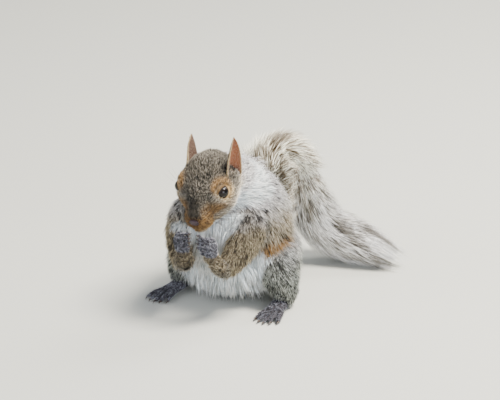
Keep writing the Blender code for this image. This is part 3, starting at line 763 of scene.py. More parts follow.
def coat_material(name, rough):
    """Squirrel fur: keratin hairs, under fur at the root, then main tone, dark band and pale tip."""
    material, tree, shader = surface(name, {"Roughness": rough, "IOR": 1.55, "Specular IOR Level": 0.35})
    hair = add(tree, "ShaderNodeAttribute", {"attribute_name": "hair"})
    parts = add(tree, "ShaderNodeSeparateXYZ", links={0: hair.outputs["Vector"]})
    colours = [add(tree, "ShaderNodeAttribute", {"attribute_name": key}).outputs["Color"] for key in TONES]
    result = colours[0]
    for index, (low, high) in enumerate(HAIR_STEPS):
        factor = add(tree, "ShaderNodeMapRange", {"interpolation_type": "SMOOTHSTEP", 1: low, 2: high},
                     {0: parts.outputs[0]}).outputs[0]
        if index > 0:
            factor = add(tree, "ShaderNodeMath", {"operation": "MULTIPLY"},
                         {0: factor, 1: parts.outputs[index]}).outputs[0]
        result = add(tree, "ShaderNodeMix", {"data_type": "RGBA"},
                     {"Factor": factor, 6: result, 7: colours[index + 1]}).outputs[2]
    tree.links.new(result, shader.inputs["Base Color"])
    return material


def grained_skin(name, settings, texture, grain, relief):
    """Skin coloured by the tone at its points, with a fine grain raised on it."""
    material, tree, shader = surface(name, settings)
    tone = add(tree, "ShaderNodeAttribute", {"attribute_name": "tone"})
    where = add(tree, "ShaderNodeTexCoord")
    pattern = add(tree, texture, grain, {"Vector": where.outputs["Object"]})
    lift = add(tree, "ShaderNodeBump", relief, {"Height": pattern.outputs[0]})
    tree.links.new(tone.outputs["Color"], shader.inputs["Base Color"])
    tree.links.new(lift.outputs["Normal"], shader.inputs["Normal"])
    return material


def horn(name, settings, grain, dark, pale):
    """Keratin with fine streaks between a dark and a paler tone."""
    material, tree, shader = surface(name, settings)
    where = add(tree, "ShaderNodeTexCoord")
    streaks = add(tree, "ShaderNodeTexNoise", grain, {"Vector": where.outputs["Object"]})
    ramp = add(tree, "ShaderNodeValToRGB", links={0: streaks.outputs["Fac"]})
    for element, colour in zip(ramp.color_ramp.elements, (dark, pale)):
        element.color = rgba(colour)
    tree.links.new(ramp.outputs[0], shader.inputs["Base Color"])
    return material


# ---- hairs as thin closed cones -------------------------------------------------------------
def strands(name, paths, side, widths, attributes, maps, pick=slice(None)):
    """Tapered three-sided hairs; `paths` and `widths` hold one array per ring, the last path the tips."""
    paths = [spots[pick] for spots in paths]
    side = side[pick]
    count = len(side)
    rings = len(widths)
    per = rings * 3 + 1
    verts = np.zeros((count, per, 3))
    patch = np.zeros((count, per, 2))
    shares = np.zeros((count, per))
    for k in range(rings):
        step = unit(paths[k + 1] - paths[k])
        across = flat_on(side, step)
        up = np.cross(step, across)
        half = (widths[k][pick] * 0.5)[:, None]
        verts[:, k * 3] = paths[k] - across * half - up * half * 0.35
        verts[:, k * 3 + 1] = paths[k] + across * half - up * half * 0.35
        verts[:, k * 3 + 2] = paths[k] + up * half * 0.6
        share = k / rings
        shares[:, k * 3:k * 3 + 3] = share
        patch[:, k * 3:k * 3 + 3] = ((-0.5, share - 0.5), (0.5, share - 0.5), (0.0, share - 0.38))
    verts[:, -1] = paths[-1]
    shares[:, -1] = 1.0
    patch[:, -1] = (0.0, 0.5)
    faces = [(0, 1, 2)]
    for low in range(0, (rings - 1) * 3, 3):
        for a, b in ((0, 1), (1, 2), (2, 0)):
            faces += [(low + a, low + 3 + a, low + 3 + b), (low + a, low + 3 + b, low + b)]
    last = (rings - 1) * 3
    faces += [(last, per - 1, last + 1), (last + 1, per - 1, last + 2), (last + 2, per - 1, last)]
    faces = (np.array(faces)[None] + (np.arange(count) * per)[:, None, None]).reshape(-1, 3)
    points = {key: np.repeat(values[pick], per, axis=0) for key, values in attributes.items()}
    points["hair"][:, 0] = shares.ravel()
    obj = mesh_object(name, verts.reshape(-1, 3), faces, points)
    uv = np.clip(maps, 0.004, 0.996)[:, None, :] + patch * BAKE_PATCH
    layer = obj.data.uv_layers.new(name="OFBake")
    layer.data.foreach_set("uv", uv.reshape(-1, 2)[faces.ravel()].astype(np.float32).ravel())
    return obj


def hair_attributes(tones, band_power, tip_power):
    """The tones of each hair, and how strong its dark band and its pale tip are."""
    attributes = dict(zip(TONES, tones))
    attributes["hair"] = np.column_stack([np.zeros(len(band_power)), band_power, tip_power])
    return attributes


def unwrap(points, owners):
    """Each part of the body unrolled about its own long axis into its own tile of the map."""
    names = np.unique(owners)
    columns = math.ceil(math.sqrt(len(names)))
    rows = math.ceil(len(names) / columns)
    out = np.zeros((len(points), 2))
    for index, name in enumerate(names):
        pick = owners == name
        rel = points[pick] - points[pick].mean(axis=0)
        two, one, long_axis = np.linalg.eigh(rel.T @ rel)[1].T
        turn = np.arctan2(rel @ two, rel @ one) / (2.0 * math.pi) + 0.5
        run = rel @ long_axis
        order = (run - run.min()) / max(run.max() - run.min(), 1e-6)
        out[pick, 0] = (index % columns + 0.02 + 0.96 * turn) / columns
        out[pick, 1] = (index // columns + 0.02 + 0.96 * order) / rows
    return out


def lock_pull(roots, cell, seed):
    """Offset from each root to the middle of its lock, and the lock's own random value."""
    jitter = np.stack([noise(roots, 6.0, seed + k) for k in range(3)], axis=1) * 1.3
    key = np.floor(roots / cell[:, None] + jitter).astype(np.int64)
    code = (key[:, 0] * 92821) ^ (key[:, 1] * 68917) ^ (key[:, 2] * 28351)
    lock, inverse = np.unique(code, return_inverse=True)
    inverse = inverse.ravel()
    count = np.bincount(inverse)
    middle = np.stack([np.bincount(inverse, roots[:, k]) / count for k in range(3)], axis=1)
    value = np.random.default_rng(seed).random(len(lock))
    return middle[inverse] - roots, value[inverse]


def triangle_areas(verts, faces):
    tri = verts[faces]
    return 0.5 * np.linalg.norm(np.cross(tri[:, 1] - tri[:, 0], tri[:, 2] - tri[:, 0]), axis=1)


def scatter(wanted):
    """Random spots, so many on each triangle as wanted: their triangles and the share of each corner."""
    count = int(wanted.sum() * HAIR_SHARE)
    picks = np.searchsorted(np.cumsum(wanted), rng.random(count) * wanted.sum())
    shares = rng.random((count, 2))
    flip = shares.sum(axis=1) > 1.0
    shares[flip] = 1.0 - shares[flip]
    return np.minimum(picks, len(wanted) - 1), np.column_stack([1.0 - shares.sum(axis=1), shares])


def at_spots(values, corners, shares):
    return np.einsum("nk,nkc->nc", shares, values[corners])


# ---- coat of the body -----------------------------------------------------------------------
def bare(p, n, w):
    """Where no hair grows: eyes, ear hollows, nose pad, soles, whatever lies on the floor, and the tail's flesh."""
    out = (weight_of(w, "tail") > 0.5) | (p[:, 2] < 0.9)
    for side, eye in EYES.items():
        out |= (gap_to(p, eye) < EYE_RADIUS + 0.5) & ((p - eye) @ EYE_FRAMES[side][0] > 1.0)
        out |= gap_to(p, EAR_HOLLOWS[side]) < 3.0
    out |= np.linalg.norm((p - NOSE) / np.array((1.15, 1.0, 1.0)), axis=1) < 2.9
    foot = weight_of(w, *both("hind_foot")) > 0.5
    return out | (foot & ((n[:, 2] < -0.35) | (p[:, 2] < 1.2)))


picks, shares = scatter(triangle_areas(skin_v, skin_f) * coat_sizes(skin_v, weights)[:, 3][skin_f].mean(axis=1))
root, root_n, root_w = [at_spots(values, skin_f[picks], shares) for values in (skin_v, skin_n, weights)]
root_n = unit(root_n)
keep = ~bare(root, root_n, root_w)
root, root_n, root_w = root[keep], root_n[keep], root_w[keep]
root_size = coat_sizes(root, root_w)
root_lie = lie(root, root_n, root_w)
root_cross = np.cross(root_n, root_lie)
pull, lock_value = lock_pull(root, root_size[:, 4], 31)
chance = rng.random((len(root), 5))


def body_paths():
    """Root, middle and tip of each hair: bent along the lie of the coat and drawn together into locks."""
    guard = chance[:, 4] > 0.86
    length = root_size[:, 1] * (0.72 + 0.5 * chance[:, 0])
    lift = root_size[:, 0] * (0.55 + 0.35 * chance[:, 1] + 0.35 * lock_value)
    length = np.where(guard, length * 1.3, length)
    lift = np.where(guard, lift * 1.45, lift)
    way = unit(root_lie + root_cross * ((chance[:, 2] - 0.5) * 0.42 + (lock_value - 0.5) * 0.36)[:, None])
    gather = pull * root_size[:, 5:6]
    gather -= root_n * np.sum(gather * root_n, axis=1, keepdims=True)
    out = []
    for share in (0.0, 0.5, 1.0):
        rise = lift * (1.0 - (1.0 - share) ** 2) - 0.35 * (1.0 - share)
        spot = root + way * (length * share)[:, None] + root_n * rise[:, None] + gather * share
        if share > 0.0:
            spot[:, 2] = np.maximum(spot[:, 2], 0.3 + 0.5 * chance[:, 1])
        out.append(spot)
    return out


paths = body_paths()
width = root_size[:, 2] * (0.75 + 0.5 * chance[:, 3])
on_belly = belly_part(root, root_w)
on_head = weight_of(root_w, *HEAD)
single = 0.3 + 0.3 * on_head         # how much a hair goes its own way, and not its lock's
tick_edge = 0.50 - 0.07 * (1.0 - on_head)
dark_tick = smooth(tick_edge + 0.06, tick_edge - 0.06, single * chance[:, 4] + (1.0 - single) * lock_value)
band_power = np.clip(0.25 + 0.85 * dark_tick, 0.0, 1.0)
tip_power = np.clip((1.15 - 0.5 * rng.random(len(root))) * (1.0 - 0.88 * dark_tick), 0.0, 1.0)
lightness = (0.84 + 0.32 * noise(root, 1.6, 41)) * (0.92 + 0.16 * noise(root, 9.0, 42))
# painted shade: fur darker in the grooves between fingers and toes
lightness *= 1.0 - 0.62 * finger_groove_shade(root)
lightness *= 1.0 + (0.06 - 0.42 * dark_tick) * (1.0 - on_belly)
body_tones = [np.clip(tone * lightness[:, None], 0.0, 1.0) for tone in markings(root, root_w)]
body_attributes = hair_attributes(body_tones, band_power, tip_power)

# body fur lies close and has a slight sheen; the tail's hairs are longer and a little glossier
short_fur = coat_material("short fur", 0.62)
long_fur = coat_material("long fur", 0.58)
root_part = np.array(LABELS)[root_w.argmax(axis=1)]
root_kind = np.array([kind_of(name) for name in LABELS])[root_w.argmax(axis=1)]
of_head, of_trunk = np.isin(root_kind, HEAD), root_kind == "trunk"
before_ears = head_coords(root)[0] > 30.0
of_belly = on_belly > 0.5
hind_half = root[:, 1] > TRUNK_MIDDLE[1]
BODY_PIECES = {
    "coat_face": (of_head & before_ears, "grey_coat", HEAD),
    "coat_crown": (of_head & ~before_ears, "grey_coat", ["head"]),
    "coat_belly": (of_trunk & of_belly, "grey_coat", ["trunk"]),
    "coat_back": (of_trunk & ~of_belly & hind_half, "grey_coat", ["trunk"]),
    "coat_shoulders": (of_trunk & ~of_belly & ~hind_half, "grey_coat", ["trunk"]),
    "coat_neck": (root_kind == "neck", "grey_coat", ["neck"]),
    "coat_arms": (np.isin(root_kind, ["upper_arm", "forearm"]), "tawny_coat", both("upper_arm", "forearm")),
    "coat_legs": (np.isin(root_kind, ["thigh", "lower_leg"]), "grey_coat", both("thigh", "lower_leg")),
    "coat_paws": (np.isin(root_kind, ["forepaw", "hind_foot"]), "paw_coat", PAWS),
}
for name, (mask, slot, nodes) in BODY_PIECES.items():
    piece = strands(name, paths, root_cross, [width * 0.75, width], body_attributes,
                    unwrap(root[mask], root_part[mask]), mask)
    place(piece, short_fur, nodes)


# ---- the tail's long coat -------------------------------------------------------------------
def tail_at(share, table):
    spot = np.clip(share, 0.0, 1.0) * (TAIL_STEPS - 1)
    low = np.minimum(spot.astype(int), TAIL_STEPS - 2)
    t = (spot - low)[:, None]
    return table[low] * (1.0 - t) + table[low + 1] * t


def tail_ray(share, turn):
    """Way straight out from the tail's middle line, by place along it and turn about it."""
    along_side = tail_at(share, tail_side) * np.cos(turn)[:, None]
    return unit(along_side + tail_at(share, tail_other) * np.sin(turn)[:, None])


def reach_at(share, turn):
    i = np.clip(share, 0.0, 1.0) * (TAIL_STEPS - 1)
    j = (turn / (2.0 * math.pi)) % 1.0 * TAIL_TURNS
    i0 = np.minimum(i.astype(int), TAIL_STEPS - 2)
    j0 = j.astype(int) % TAIL_TURNS
    ti, tj = i - i0, j - np.floor(j)
    j1 = (j0 + 1) % TAIL_TURNS
    top = TAIL_REACH[i0, j0] * (1 - tj) + TAIL_REACH[i0, j1] * tj
    low = TAIL_REACH[i0 + 1, j0] * (1 - tj) + TAIL_REACH[i0 + 1, j1] * tj
    return top * (1 - ti) + low * ti


def tail_coat(locks, per_lock):
    """Long hairs in fine locks, fanning out over the arch and lying along the lower length."""
    lock_s = rng.random(locks) ** 0.92 * TAIL_CORE_END
    lock_turn = rng.random(locks) * 2.0 * math.pi
    closing = rng.random(locks) < 0.06          # locks that close the end of the tail
    lock_s = np.where(closing, TAIL_CORE_END, lock_s)
    lock_reach = 0.94 + 0.20 * rng.random(locks)
    lie_down = smooth(0.44, 0.66, lock_s) + 0.35 * smooth(0.16, 0.0, lock_s)
    lock_sweep = 8.0 + 20.0 * lie_down + (5.0 + 4.0 * lie_down) * rng.random(locks)
    lock_tone = rng.random(locks)
    n = locks * per_lock
    which = np.repeat(np.arange(locks), per_lock)
    spread = rng.normal(0.0, 1.0, (n, 2))
    s = np.clip(lock_s[which] + spread[:, 0] * 2.4 / tail_run, 0.005, TAIL_CORE_END)
    turn = lock_turn[which] + spread[:, 1] * 0.20
    core = core_radius(s / TAIL_CORE_END)
    forward = unit(tail_at(s, tail_tangent))
    ray = tail_ray(s, turn)
    base = tail_at(s, tail_mid) + ray * (core - 0.8)[:, None]
    short = rng.random(n) < 0.4
    inner = 0.45 - 0.43 * smooth(0.66, 0.84, s)
    short_reach = inner + (0.9 - inner) * rng.random(n)
    long_reach = 0.90 + 0.15 * rng.random(n)
    reach_share = lock_reach[which] * np.where(short, short_reach, long_reach)
    reach_share = np.where(closing[which], 0.75 * rng.random(n), reach_share)
    sweep = np.where(closing, 30.0, lock_sweep)[which] * (0.7 + 0.5 * rng.random(n)) * np.sqrt(reach_share)
    end_turn = lock_turn[which] + spread[:, 1] * (0.10 + 0.08 * rng.random(n))
    end_s = s + sweep / tail_run
    past_end = np.maximum(end_s - 1.0, 0.0) * tail_run
    end_mid = tail_at(end_s, tail_mid) + unit(tail_at(end_s, tail_tangent)) * past_end[:, None]
    reach = np.maximum(reach_at(end_s, end_turn), core + 2.0) * reach_share
    tip = end_mid + tail_ray(end_s, end_turn) * reach[:, None] + rng.normal(0.0, 0.7, (n, 3))
    length = np.linalg.norm(tip - base, axis=1)
    knee = base + ray * (length * 0.42)[:, None] + forward * (length * 0.14)[:, None]
    out = [base * (1 - t) ** 2 + knee * (2 * t * (1 - t)) + tip * (t * t) for t in (0.0, 0.38, 0.74, 1.0)]
    for spots in out[2:]:
        spots[:, 2] = np.maximum(spots[:, 2], 0.4)
    return s, turn, out, unit(np.cross(forward, ray)), lock_tone[which]


tail_s, tail_turn, tail_paths, tail_across, tail_tone = tail_coat(TAIL_LOCKS, HAIRS_PER_LOCK)
tail_count = len(tail_s)
tail_width = 0.32 + 0.24 * rng.random(tail_count)
streak_at = np.column_stack([12.0 * np.cos(tail_turn), 12.0 * np.sin(tail_turn), 0.2 * tail_s * tail_run])
streak = noise(streak_at, 3.6, 51)
tail_tone = np.clip(0.5 + 2.1 * (0.7 * (streak - 0.5) + 0.3 * (tail_tone - 0.5)), 0.0, 1.0)
brown_part = (0.12 + 0.88 * (smooth(0.60, 0.42, tail_s) * smooth(0.02, 0.14, tail_s)))[:, None]
shade = (0.46 + 0.68 * smooth(0.24, 0.60, tail_tone) + 0.16 * (rng.random(tail_count) - 0.5))[:, None]
tail_tones = [np.clip(blend(grey, brown, brown_part) * shade, 0.0, 1.0)
              for grey, brown in zip(TAIL_GREY, TAIL_BROWN)]
pale_lock = smooth(0.30, 0.58, tail_tone)
tail_tones[1] = blend(tail_tones[1], tail_tones[3], (0.45 * pale_lock)[:, None])
tail_attributes = hair_attributes(tail_tones, 0.3 + 0.7 * rng.random(tail_count),
                                  np.clip(1.2 - 0.5 * rng.random(tail_count), 0.0, 1.0) * (0.35 + 0.65 * pale_lock))
cuts = np.quantile(tail_s, [0.0, 0.34, 0.67, 1.0])
for name, low, high in zip(("coat_tail_upper", "coat_tail_middle", "coat_tail_lower"), cuts[:-1], cuts[1:]):
    index = np.nonzero((tail_s >= low) & (tail_s <= high))[0]
    maps = np.column_stack([(tail_turn[index] / (2.0 * math.pi)) % 1.0, (tail_s[index] - low) / (high - low)])
    piece = strands(name, tail_paths, tail_across, [tail_width * 0.8, tail_width, tail_width * 0.8],
                    tail_attributes, 0.01 + 0.98 * maps, index)
    place(piece, long_fur, TAILS)


# ---- skin with eyelids ----------------------------------------------------------------------
def lid_wall(t):
    """Height of the lid over the eyeball, from its edge (0) to where it meets the face (1)."""
    return LID_WALL * (0.15 + 1.05 * np.sin(np.pi * np.minimum(t * 3.2, 1.0) * 0.5)) + 0.4 * t


def lid_opening(c, s):
    """Angle from the middle of the eye to the edge of the lids, by cosine and sine of the turn about it."""
    return (abs(c / EYE_LONG) ** LID_POINT + abs(s / EYE_SHORT) ** LID_POINT) ** (-1.0 / LID_POINT)


def lid_tones(p):
    """Markings of the lids, which belong to the head alone."""
    head_only = np.zeros((len(p), len(LABELS)))
    head_only[:, LABELS.index("head")] = 1.0
    return markings(p, head_only)


def eyelids(side, sign):
    """Lids hugging the eye, open in an almond whose long way follows the head line, and their dark rim."""
    pole, one, two = EYE_FRAMES[side]
    rows, columns = 16, 56
    verts = []
    for i in range(rows + 1):
        t = i / rows
        wall = lid_wall(t) if i > 0 else 0.02
        for j in range(columns):
            turn = 2.0 * math.pi * j / columns
            c, s = math.cos(turn), math.sin(turn)
            opening = lid_opening(c, s)
            polar = math.radians(opening + (LID_REACH - opening) * t)
            spot = pole * math.cos(polar) + (one * c + two * s) * math.sin(polar)
            verts.append(EYES[side] + spot * (EYE_RADIUS + wall))
    faces = np.array(ring_faces(rows, columns))[:, [0, 2, 1]][:, ::int(sign)]
    return np.array(verts), faces, np.repeat(smooth(0.32, 0.14, np.arange(rows + 1) / rows), columns)


skin_tone = markings(skin_v, weights)
skin_colour = 0.55 * skin_tone[0] + 0.45 * skin_tone[1]
# painted shade: dark skin round each ear opening, for the shade in the canal
for hollow in EAR_HOLLOWS.values():
    skin_colour = blend(skin_colour, srgb("#3a2620"), smooth(4.6, 3.0, gap_to(skin_v, hollow))[:, None])
# painted shade: skin darker in the grooves between fingers and toes
skin_colour = skin_colour * (1.0 - 0.6 * finger_groove_shade(skin_v))[:, None]
skin_colour = blend(skin_colour, srgb("#2c2019"), 0.8 * smooth(6.0, 4.0, gap_to(skin_v, NOSE))[:, None])
skin_colour = blend(skin_colour, srgb("#3a3437"), 0.5 * smooth(0.4, 0.8, weight_of(weights, *PAWS))[:, None])
skin_parts = [(skin_v, skin_f)]
skin_colours = [skin_colour]
for side, sign in SIDES:
    verts, faces, rim = eyelids(side, sign)
    under, tone = lid_tones(verts)[:2]
    skin_parts.append((verts, faces))
    skin_colours.append(blend(0.5 * under + 0.5 * tone, srgb("#15100e"), rim[:, None]))
# skin under the coat: soft, dull, close in colour to the fur that grows from it
furred_skin = grained_skin("furred skin", {"Roughness": 0.75, "IOR": 1.4, "Specular IOR Level": 0.3},
                           "ShaderNodeTexNoise", {"Scale": 900.0, "Detail": 2.0},
                           {"Strength": 0.5, "Distance": 0.0004})
place(mesh_object("skin", *join(skin_parts), {"tone": np.concatenate(skin_colours)}),
      furred_skin, FLESH + PAWS + TAILS)


# ---- eyes, nose, ears, claws, whiskers ------------------------------------------------------
def eye_shape(polar):
    """A little fuller at the front, where the cornea stands out."""
    return 1.0 + 0.035 * math.exp(-(polar / 0.75) ** 2)


# wet cornea over a brown-black iris: mirror-like, almost black
eye_material, eye_tree, eye_shader = surface("wet dark eye", {
    "Roughness": 0.05, "IOR": 1.36, "Specular IOR Level": 0.3,
    "Coat Weight": 0.15, "Coat Roughness": 0.02, "Coat IOR": 1.38})
eye_tone = add(eye_tree, "ShaderNodeAttribute", {"attribute_name": "tone"})
eye_tree.links.new(eye_tone.outputs["Color"], eye_shader.inputs["Base Color"])
for side, eye in EYES.items():
    verts, faces = ball(eye, EYE_RADIUS, EYE_FRAMES[side], 28, 40, eye_shape)
    pupil = smooth(0.86, 0.93, unit(verts - eye) @ EYE_FRAMES[side][0])[:, None]
    tone = blend(srgb("#140d0a"), srgb("#050404"), pupil)
    place(mesh_object("eye_ball_" + side, verts, faces, {"tone": tone}), eye_material, ["eye_" + side])


def nose_pad():
    """Rounded pad with a groove down the middle and a comma-shaped nostril on each side."""
    verts, faces = ball(NOSE, 1.0, (HEAD_LINE, HEAD_SIDE, HEAD_UP), 30, 44)
    rel = verts - NOSE
    a, s, h = rel @ HEAD_LINE, rel @ HEAD_SIDE, rel @ HEAD_UP
    pits = sum(np.exp(-(((s - 0.66 * sign) / 0.22) ** 2 + ((h - 0.26 - 0.4 * (s * sign - 0.6)) / 0.2) ** 2))
               for name, sign in SIDES) * smooth(0.0, 0.5, a)
    groove = bump(0.0, 0.10, s) * smooth(0.0, 0.4, a) * smooth(0.5, -0.2, h)
    push = 1.0 - 0.6 * pits - 0.25 * groove
    verts = NOSE + HEAD_LINE * (a * 2.1 * push)[:, None] + HEAD_SIDE * (s * (4.3 + 0.7 * h))[:, None]
    verts = verts + HEAD_UP * (h * 2.6)[:, None]
    # painted shade: the nostril pits painted near-black for the shade inside the open nostrils
    return verts, faces, {"tone": blend(srgb("#33262a"), srgb("#080505"), pits[:, None])}


# bare moist skin of the nose: dark, pebbled, faint shine
nose_skin = grained_skin("moist nose skin", {"Roughness": 0.42, "IOR": 1.4},
                         "ShaderNodeTexVoronoi", {"Scale": 2600.0}, {"Strength": 0.4, "Distance": 0.0001})
place(mesh_object("nose_pad", *nose_pad()), nose_skin, ["nose"])


def ear_shell(side, sign):
    """Thin cupped leaf: grey-brown fur outside, bare pink hollow inside, a folded slit at the base."""
    rows, columns = 38, 26
    wide = columns + 1
    tip, base, turn = np.array(EAR_TIP[side]), np.array(EAR_ROOT[side]), EAR_TURN[side]
    chord = unit(EAR_CHORD) * math.cos(turn) + unit(EAR_OPENING) * math.sin(turn)
    opening = unit(EAR_OPENING) * math.cos(turn) - unit(EAR_CHORD) * math.sin(turn)
    inner, outer = [], []
    for row in range(rows + 1):
        climb = -EAR_NOTCH + (0.995 + EAR_NOTCH) * row / rows
        above, below = max(climb, 0.0), max(-climb, 0.0)
        half = max(EAR_HALF_WIDTH * (1.0 - climb) ** 0.80 * (1.0 + 0.9 * climb), 0.15)
        if climb < 0.0:
            half = EAR_HALF_WIDTH * (1.0 + 4.2 * climb)
        taper = min(1.0, half / 5.0)
        cup = EAR_CUP * (1.0 - 0.72 * above) * taper
        wall = EAR_WALL * (1.0 - 0.75 * above)
        middle = base + (tip - base) * climb + np.array((0.0, 14.0, 0.0)) * below
        for column in range(wide):
            across = 2.0 * column / columns - 1.0
            hollow = cup * (across * across - 0.55)
            fold = 1.3 * math.exp(-((across - 0.25) / 0.16) ** 2) * math.exp(-(climb / 0.35) ** 2)
            roll = 0.35 * smooth(0.82, 1.0, abs(across))
            margin = 3.0 * taper * smooth(0.0, 1.0, -across) ** 1.4 * (1.0 - 0.55 * above)
            spot = middle + chord * half * across + opening * (hollow + margin)
            inner.append(spot + opening * (wall * 0.5 - fold + roll))
            outer.append(spot - opening * (wall * 0.5 + roll * 0.4))
    count = len(inner)
    faces = []
    for i in range(rows):
        for j in range(columns):
            a = i * wide + j
            b = a + count
            faces += [(a, a + 1, a + wide + 1), (a, a + wide + 1, a + wide),
                      (b, b + wide + 1, b + 1), (b, b + wide, b + wide + 1)]
    rims = [(start + j, 1, order) for j in range(columns) for start, order in ((0, 1), (rows * wide, -1))]
    rims += [(i * wide + start, wide, order) for i in range(rows) for start, order in ((0, -1), (columns, 1))]
    for a, step, order in rims:
        quad = [a, a + count, a + count + step, a + step][::order]
        faces += [(quad[0], quad[1], quad[2]), (quad[0], quad[2], quad[3])]
    forward, out, up = (np.array(inner + outer) * (1.0, sign, 1.0)).T
    verts = SKULL + np.outer(forward, HEAD_LINE) + np.outer(out, HEAD_SIDE) + np.outer(up, HEAD_UP)
    climb = np.tile(np.repeat(-EAR_NOTCH + (1.0 + EAR_NOTCH) * np.arange(rows + 1) / rows, wide), 2)
    across = np.tile(np.linspace(-1.0, 1.0, wide), 2 * (rows + 1))
    return verts, np.array(faces)[:, ::int(sign)], climb, across, np.arange(2 * count) < count


# thin bare skin with blood behind it: pink-brown, soft, lets a little light through
ear_skin = grained_skin(
    "thin ear skin",
    {"Roughness": 0.6, "IOR": 1.4, "Subsurface Weight": 0.15, "Subsurface Scale": 0.0012,
     "Subsurface Radius": (1.0, 0.35, 0.2)},
    "ShaderNodeTexNoise", {"Scale": 1300.0, "Detail": 2.0}, {"Strength": 0.4, "Distance": 0.0002})
ear_roots = []
for side, sign in SIDES:
    verts, faces, climb, across, is_inner = ear_shell(side, sign)
    # painted shade: the hollow darkens towards the base of the ear, where the canal lies in shade
    low = smooth(0.40, 0.08, climb + 0.12 * np.abs(across - 0.2))[:, None]
    tone = np.where(is_inner[:, None], blend(srgb(EAR_PINK[side]), srgb("#2a1713"), low), srgb("#574338"))
    # painted rim light: pale along the edges of the ear
    tone = blend(tone, srgb("#a8936c"), smooth(0.9, 1.0, np.abs(across))[:, None] * 0.7)
    place(mesh_object("ear_shell_" + side, verts, faces, {"tone": tone}), ear_skin, ["ear_" + side])
    outside = ~is_inner[faces].any(axis=1)
    inside = is_inner[faces].all(axis=1)
    climb, across = climb[faces].mean(axis=1), across[faces].mean(axis=1)
    each_mm2 = np.where(outside, 2.8, np.where(np.abs(across) > 0.9, 1.4, 1.2))
    picks, shares = scatter(triangle_areas(verts, faces) * each_mm2)
    normals = unit(vertex_normals(verts, faces)[faces].mean(axis=1))
    ear_roots.append((at_spots(verts, faces[picks], shares), normals[picks], climb[picks], across[picks],
                      inside[picks], np.full(len(picks), side)))


def ear_coat():
    """Short fur on the backs and rims of the ears, finer and sparser in their hollows."""
    spots, normals, climb, across, inner, owners = [np.concatenate(part) for part in zip(*ear_roots)]
    count = len(spots)
    rise = unit(np.array(EAR_TIP["left"]) - np.array(EAR_ROOT["left"]))
    way = flat_on(HEAD_LINE * rise[0] + HEAD_UP * rise[2] + rng.normal(0.0, 0.12, (count, 3)), normals)
    length = np.where(inner, 1.6, 2.3 - 1.3 * climb) * (0.7 + 0.6 * rng.random(count))
    lift = np.where(inner, 0.5, 0.55) * length * (0.35 + 0.3 * rng.random(count))
    lines = [spots - normals * 0.1 + way * (length * s)[:, None] + normals * (lift * (1 - (1 - s) ** 2))[:, None]
             for s in (0.0, 0.5, 1.0)]
    tones = [np.where(inner[:, None], hollow, back) for hollow, back in zip(EAR_HOLLOW, EAR_BACK)]
    # painted rim light: paler fur along the ear edges
    rim = (0.6 * smooth(0.9, 1.0, np.abs(across)))[:, None]
    tones = [tone + (pale - tone) * rim for tone, pale in zip(tones, EAR_RIM_LIGHT)]
    attributes = hair_attributes(tones, rng.random(count) * 0.7, 0.4 + 0.5 * rng.random(count))
    thick = 0.24 + 0.12 * rng.random(count)
    piece = strands("coat_ears", lines, np.cross(normals, way), [thick * 0.8, thick], attributes,
                    unwrap(spots, owners))
    place(piece, short_fur, both("ear"))


ear_coat()


def lid_coat():
    """Short fur on the eyelids, combed away from the eye."""
    parts = []
    for side, eye in EYES.items():
        pole, one, two = EYE_FRAMES[side]
        turn = rng.random(LID_HAIRS) * 2.0 * math.pi
        c, s = np.cos(turn), np.sin(turn)
        opening = lid_opening(c, s)
        t = 0.11 + 0.89 * rng.random(LID_HAIRS)
        polar = np.radians(opening + (LID_REACH - opening) * t)
        around = np.outer(c, one) + np.outer(s, two)
        normal = pole * np.cos(polar)[:, None] + around * np.sin(polar)[:, None]
        way = around * np.cos(polar)[:, None] - pole * np.sin(polar)[:, None] - HEAD_LINE * 0.45
        parts.append((eye + normal * (EYE_RADIUS + lid_wall(t) - 0.05)[:, None], normal, way,
                      np.full(LID_HAIRS, side)))
    spots, normals, ways, owners = [np.concatenate(part) for part in zip(*parts)]
    ways = flat_on(ways, normals)
    count = len(spots)
    length = 1.3 + 1.0 * rng.random(count)
    lines = [spots + ways * (length * s)[:, None] + normals * (0.6 * (1 - (1 - s) ** 2) - 0.1 * (1 - s))
             for s in (0.0, 0.5, 1.0)]
    attributes = hair_attributes(lid_tones(spots), 0.2 + 0.6 * rng.random(count), 0.3 + 0.6 * rng.random(count))
    thick = 0.26 + 0.08 * rng.random(count)
    piece = strands("coat_lids", lines, np.cross(normals, ways), [thick * 0.8, thick], attributes,
                    unwrap(spots, owners))
    place(piece, short_fur, ["head"])


lid_coat()


def claw_line(paw, side, sign, k):
    """Points along a curved claw in its solid, from the finger or toe to the tip."""
    low, high = [np.array(corner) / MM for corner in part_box(f"claw_{paw}_{side}_{k}")]
    middle = (low + high) * 0.5
    if paw == "hind":
        return ((middle[0], high[1] + 1.2, high[2] - 0.4), (middle[0], middle[1], high[2] - 0.3),
                (middle[0], low[1] + 0.2, low[2] + 0.15))
    start, end = (high[0], low[0] + 0.9) if sign > 0 else (low[0], high[0] - 0.9)
    return ((start + 0.4 * sign, low[1] + 0.9, middle[2] - 0.5), (middle[0], middle[1] - 0.2, middle[2] + 0.5),
            (end, high[1] - 0.2, middle[2] + 0.2))


claws = []
for side, sign in SIDES:
    claws += [limb(claw_line("fore", side, sign, k), FORE_CLAW_RADII, 10) for k in range(1, 5)]
    claws += [limb(claw_line("hind", side, sign, k), HIND_CLAW_RADII, 10) for k in range(1, 6)]
claw_nodes = [f"claw_fore_{side}_{k}" for side, sign in SIDES for k in range(1, 5)]
claw_nodes += [f"claw_hind_{side}_{k}" for side, sign in SIDES for k in range(1, 6)]
# claw horn: dark keratin, smooth and slightly glossy, with fine paler streaks
claw_horn = horn("claw horn", {"Roughness": 0.32, "IOR": 1.54}, {"Scale": 700.0, "Detail": 2.0},
                 "#1c1613", "#4a3b31")
place(mesh_object("claw_set", *join(claws)), claw_horn, claw_nodes)


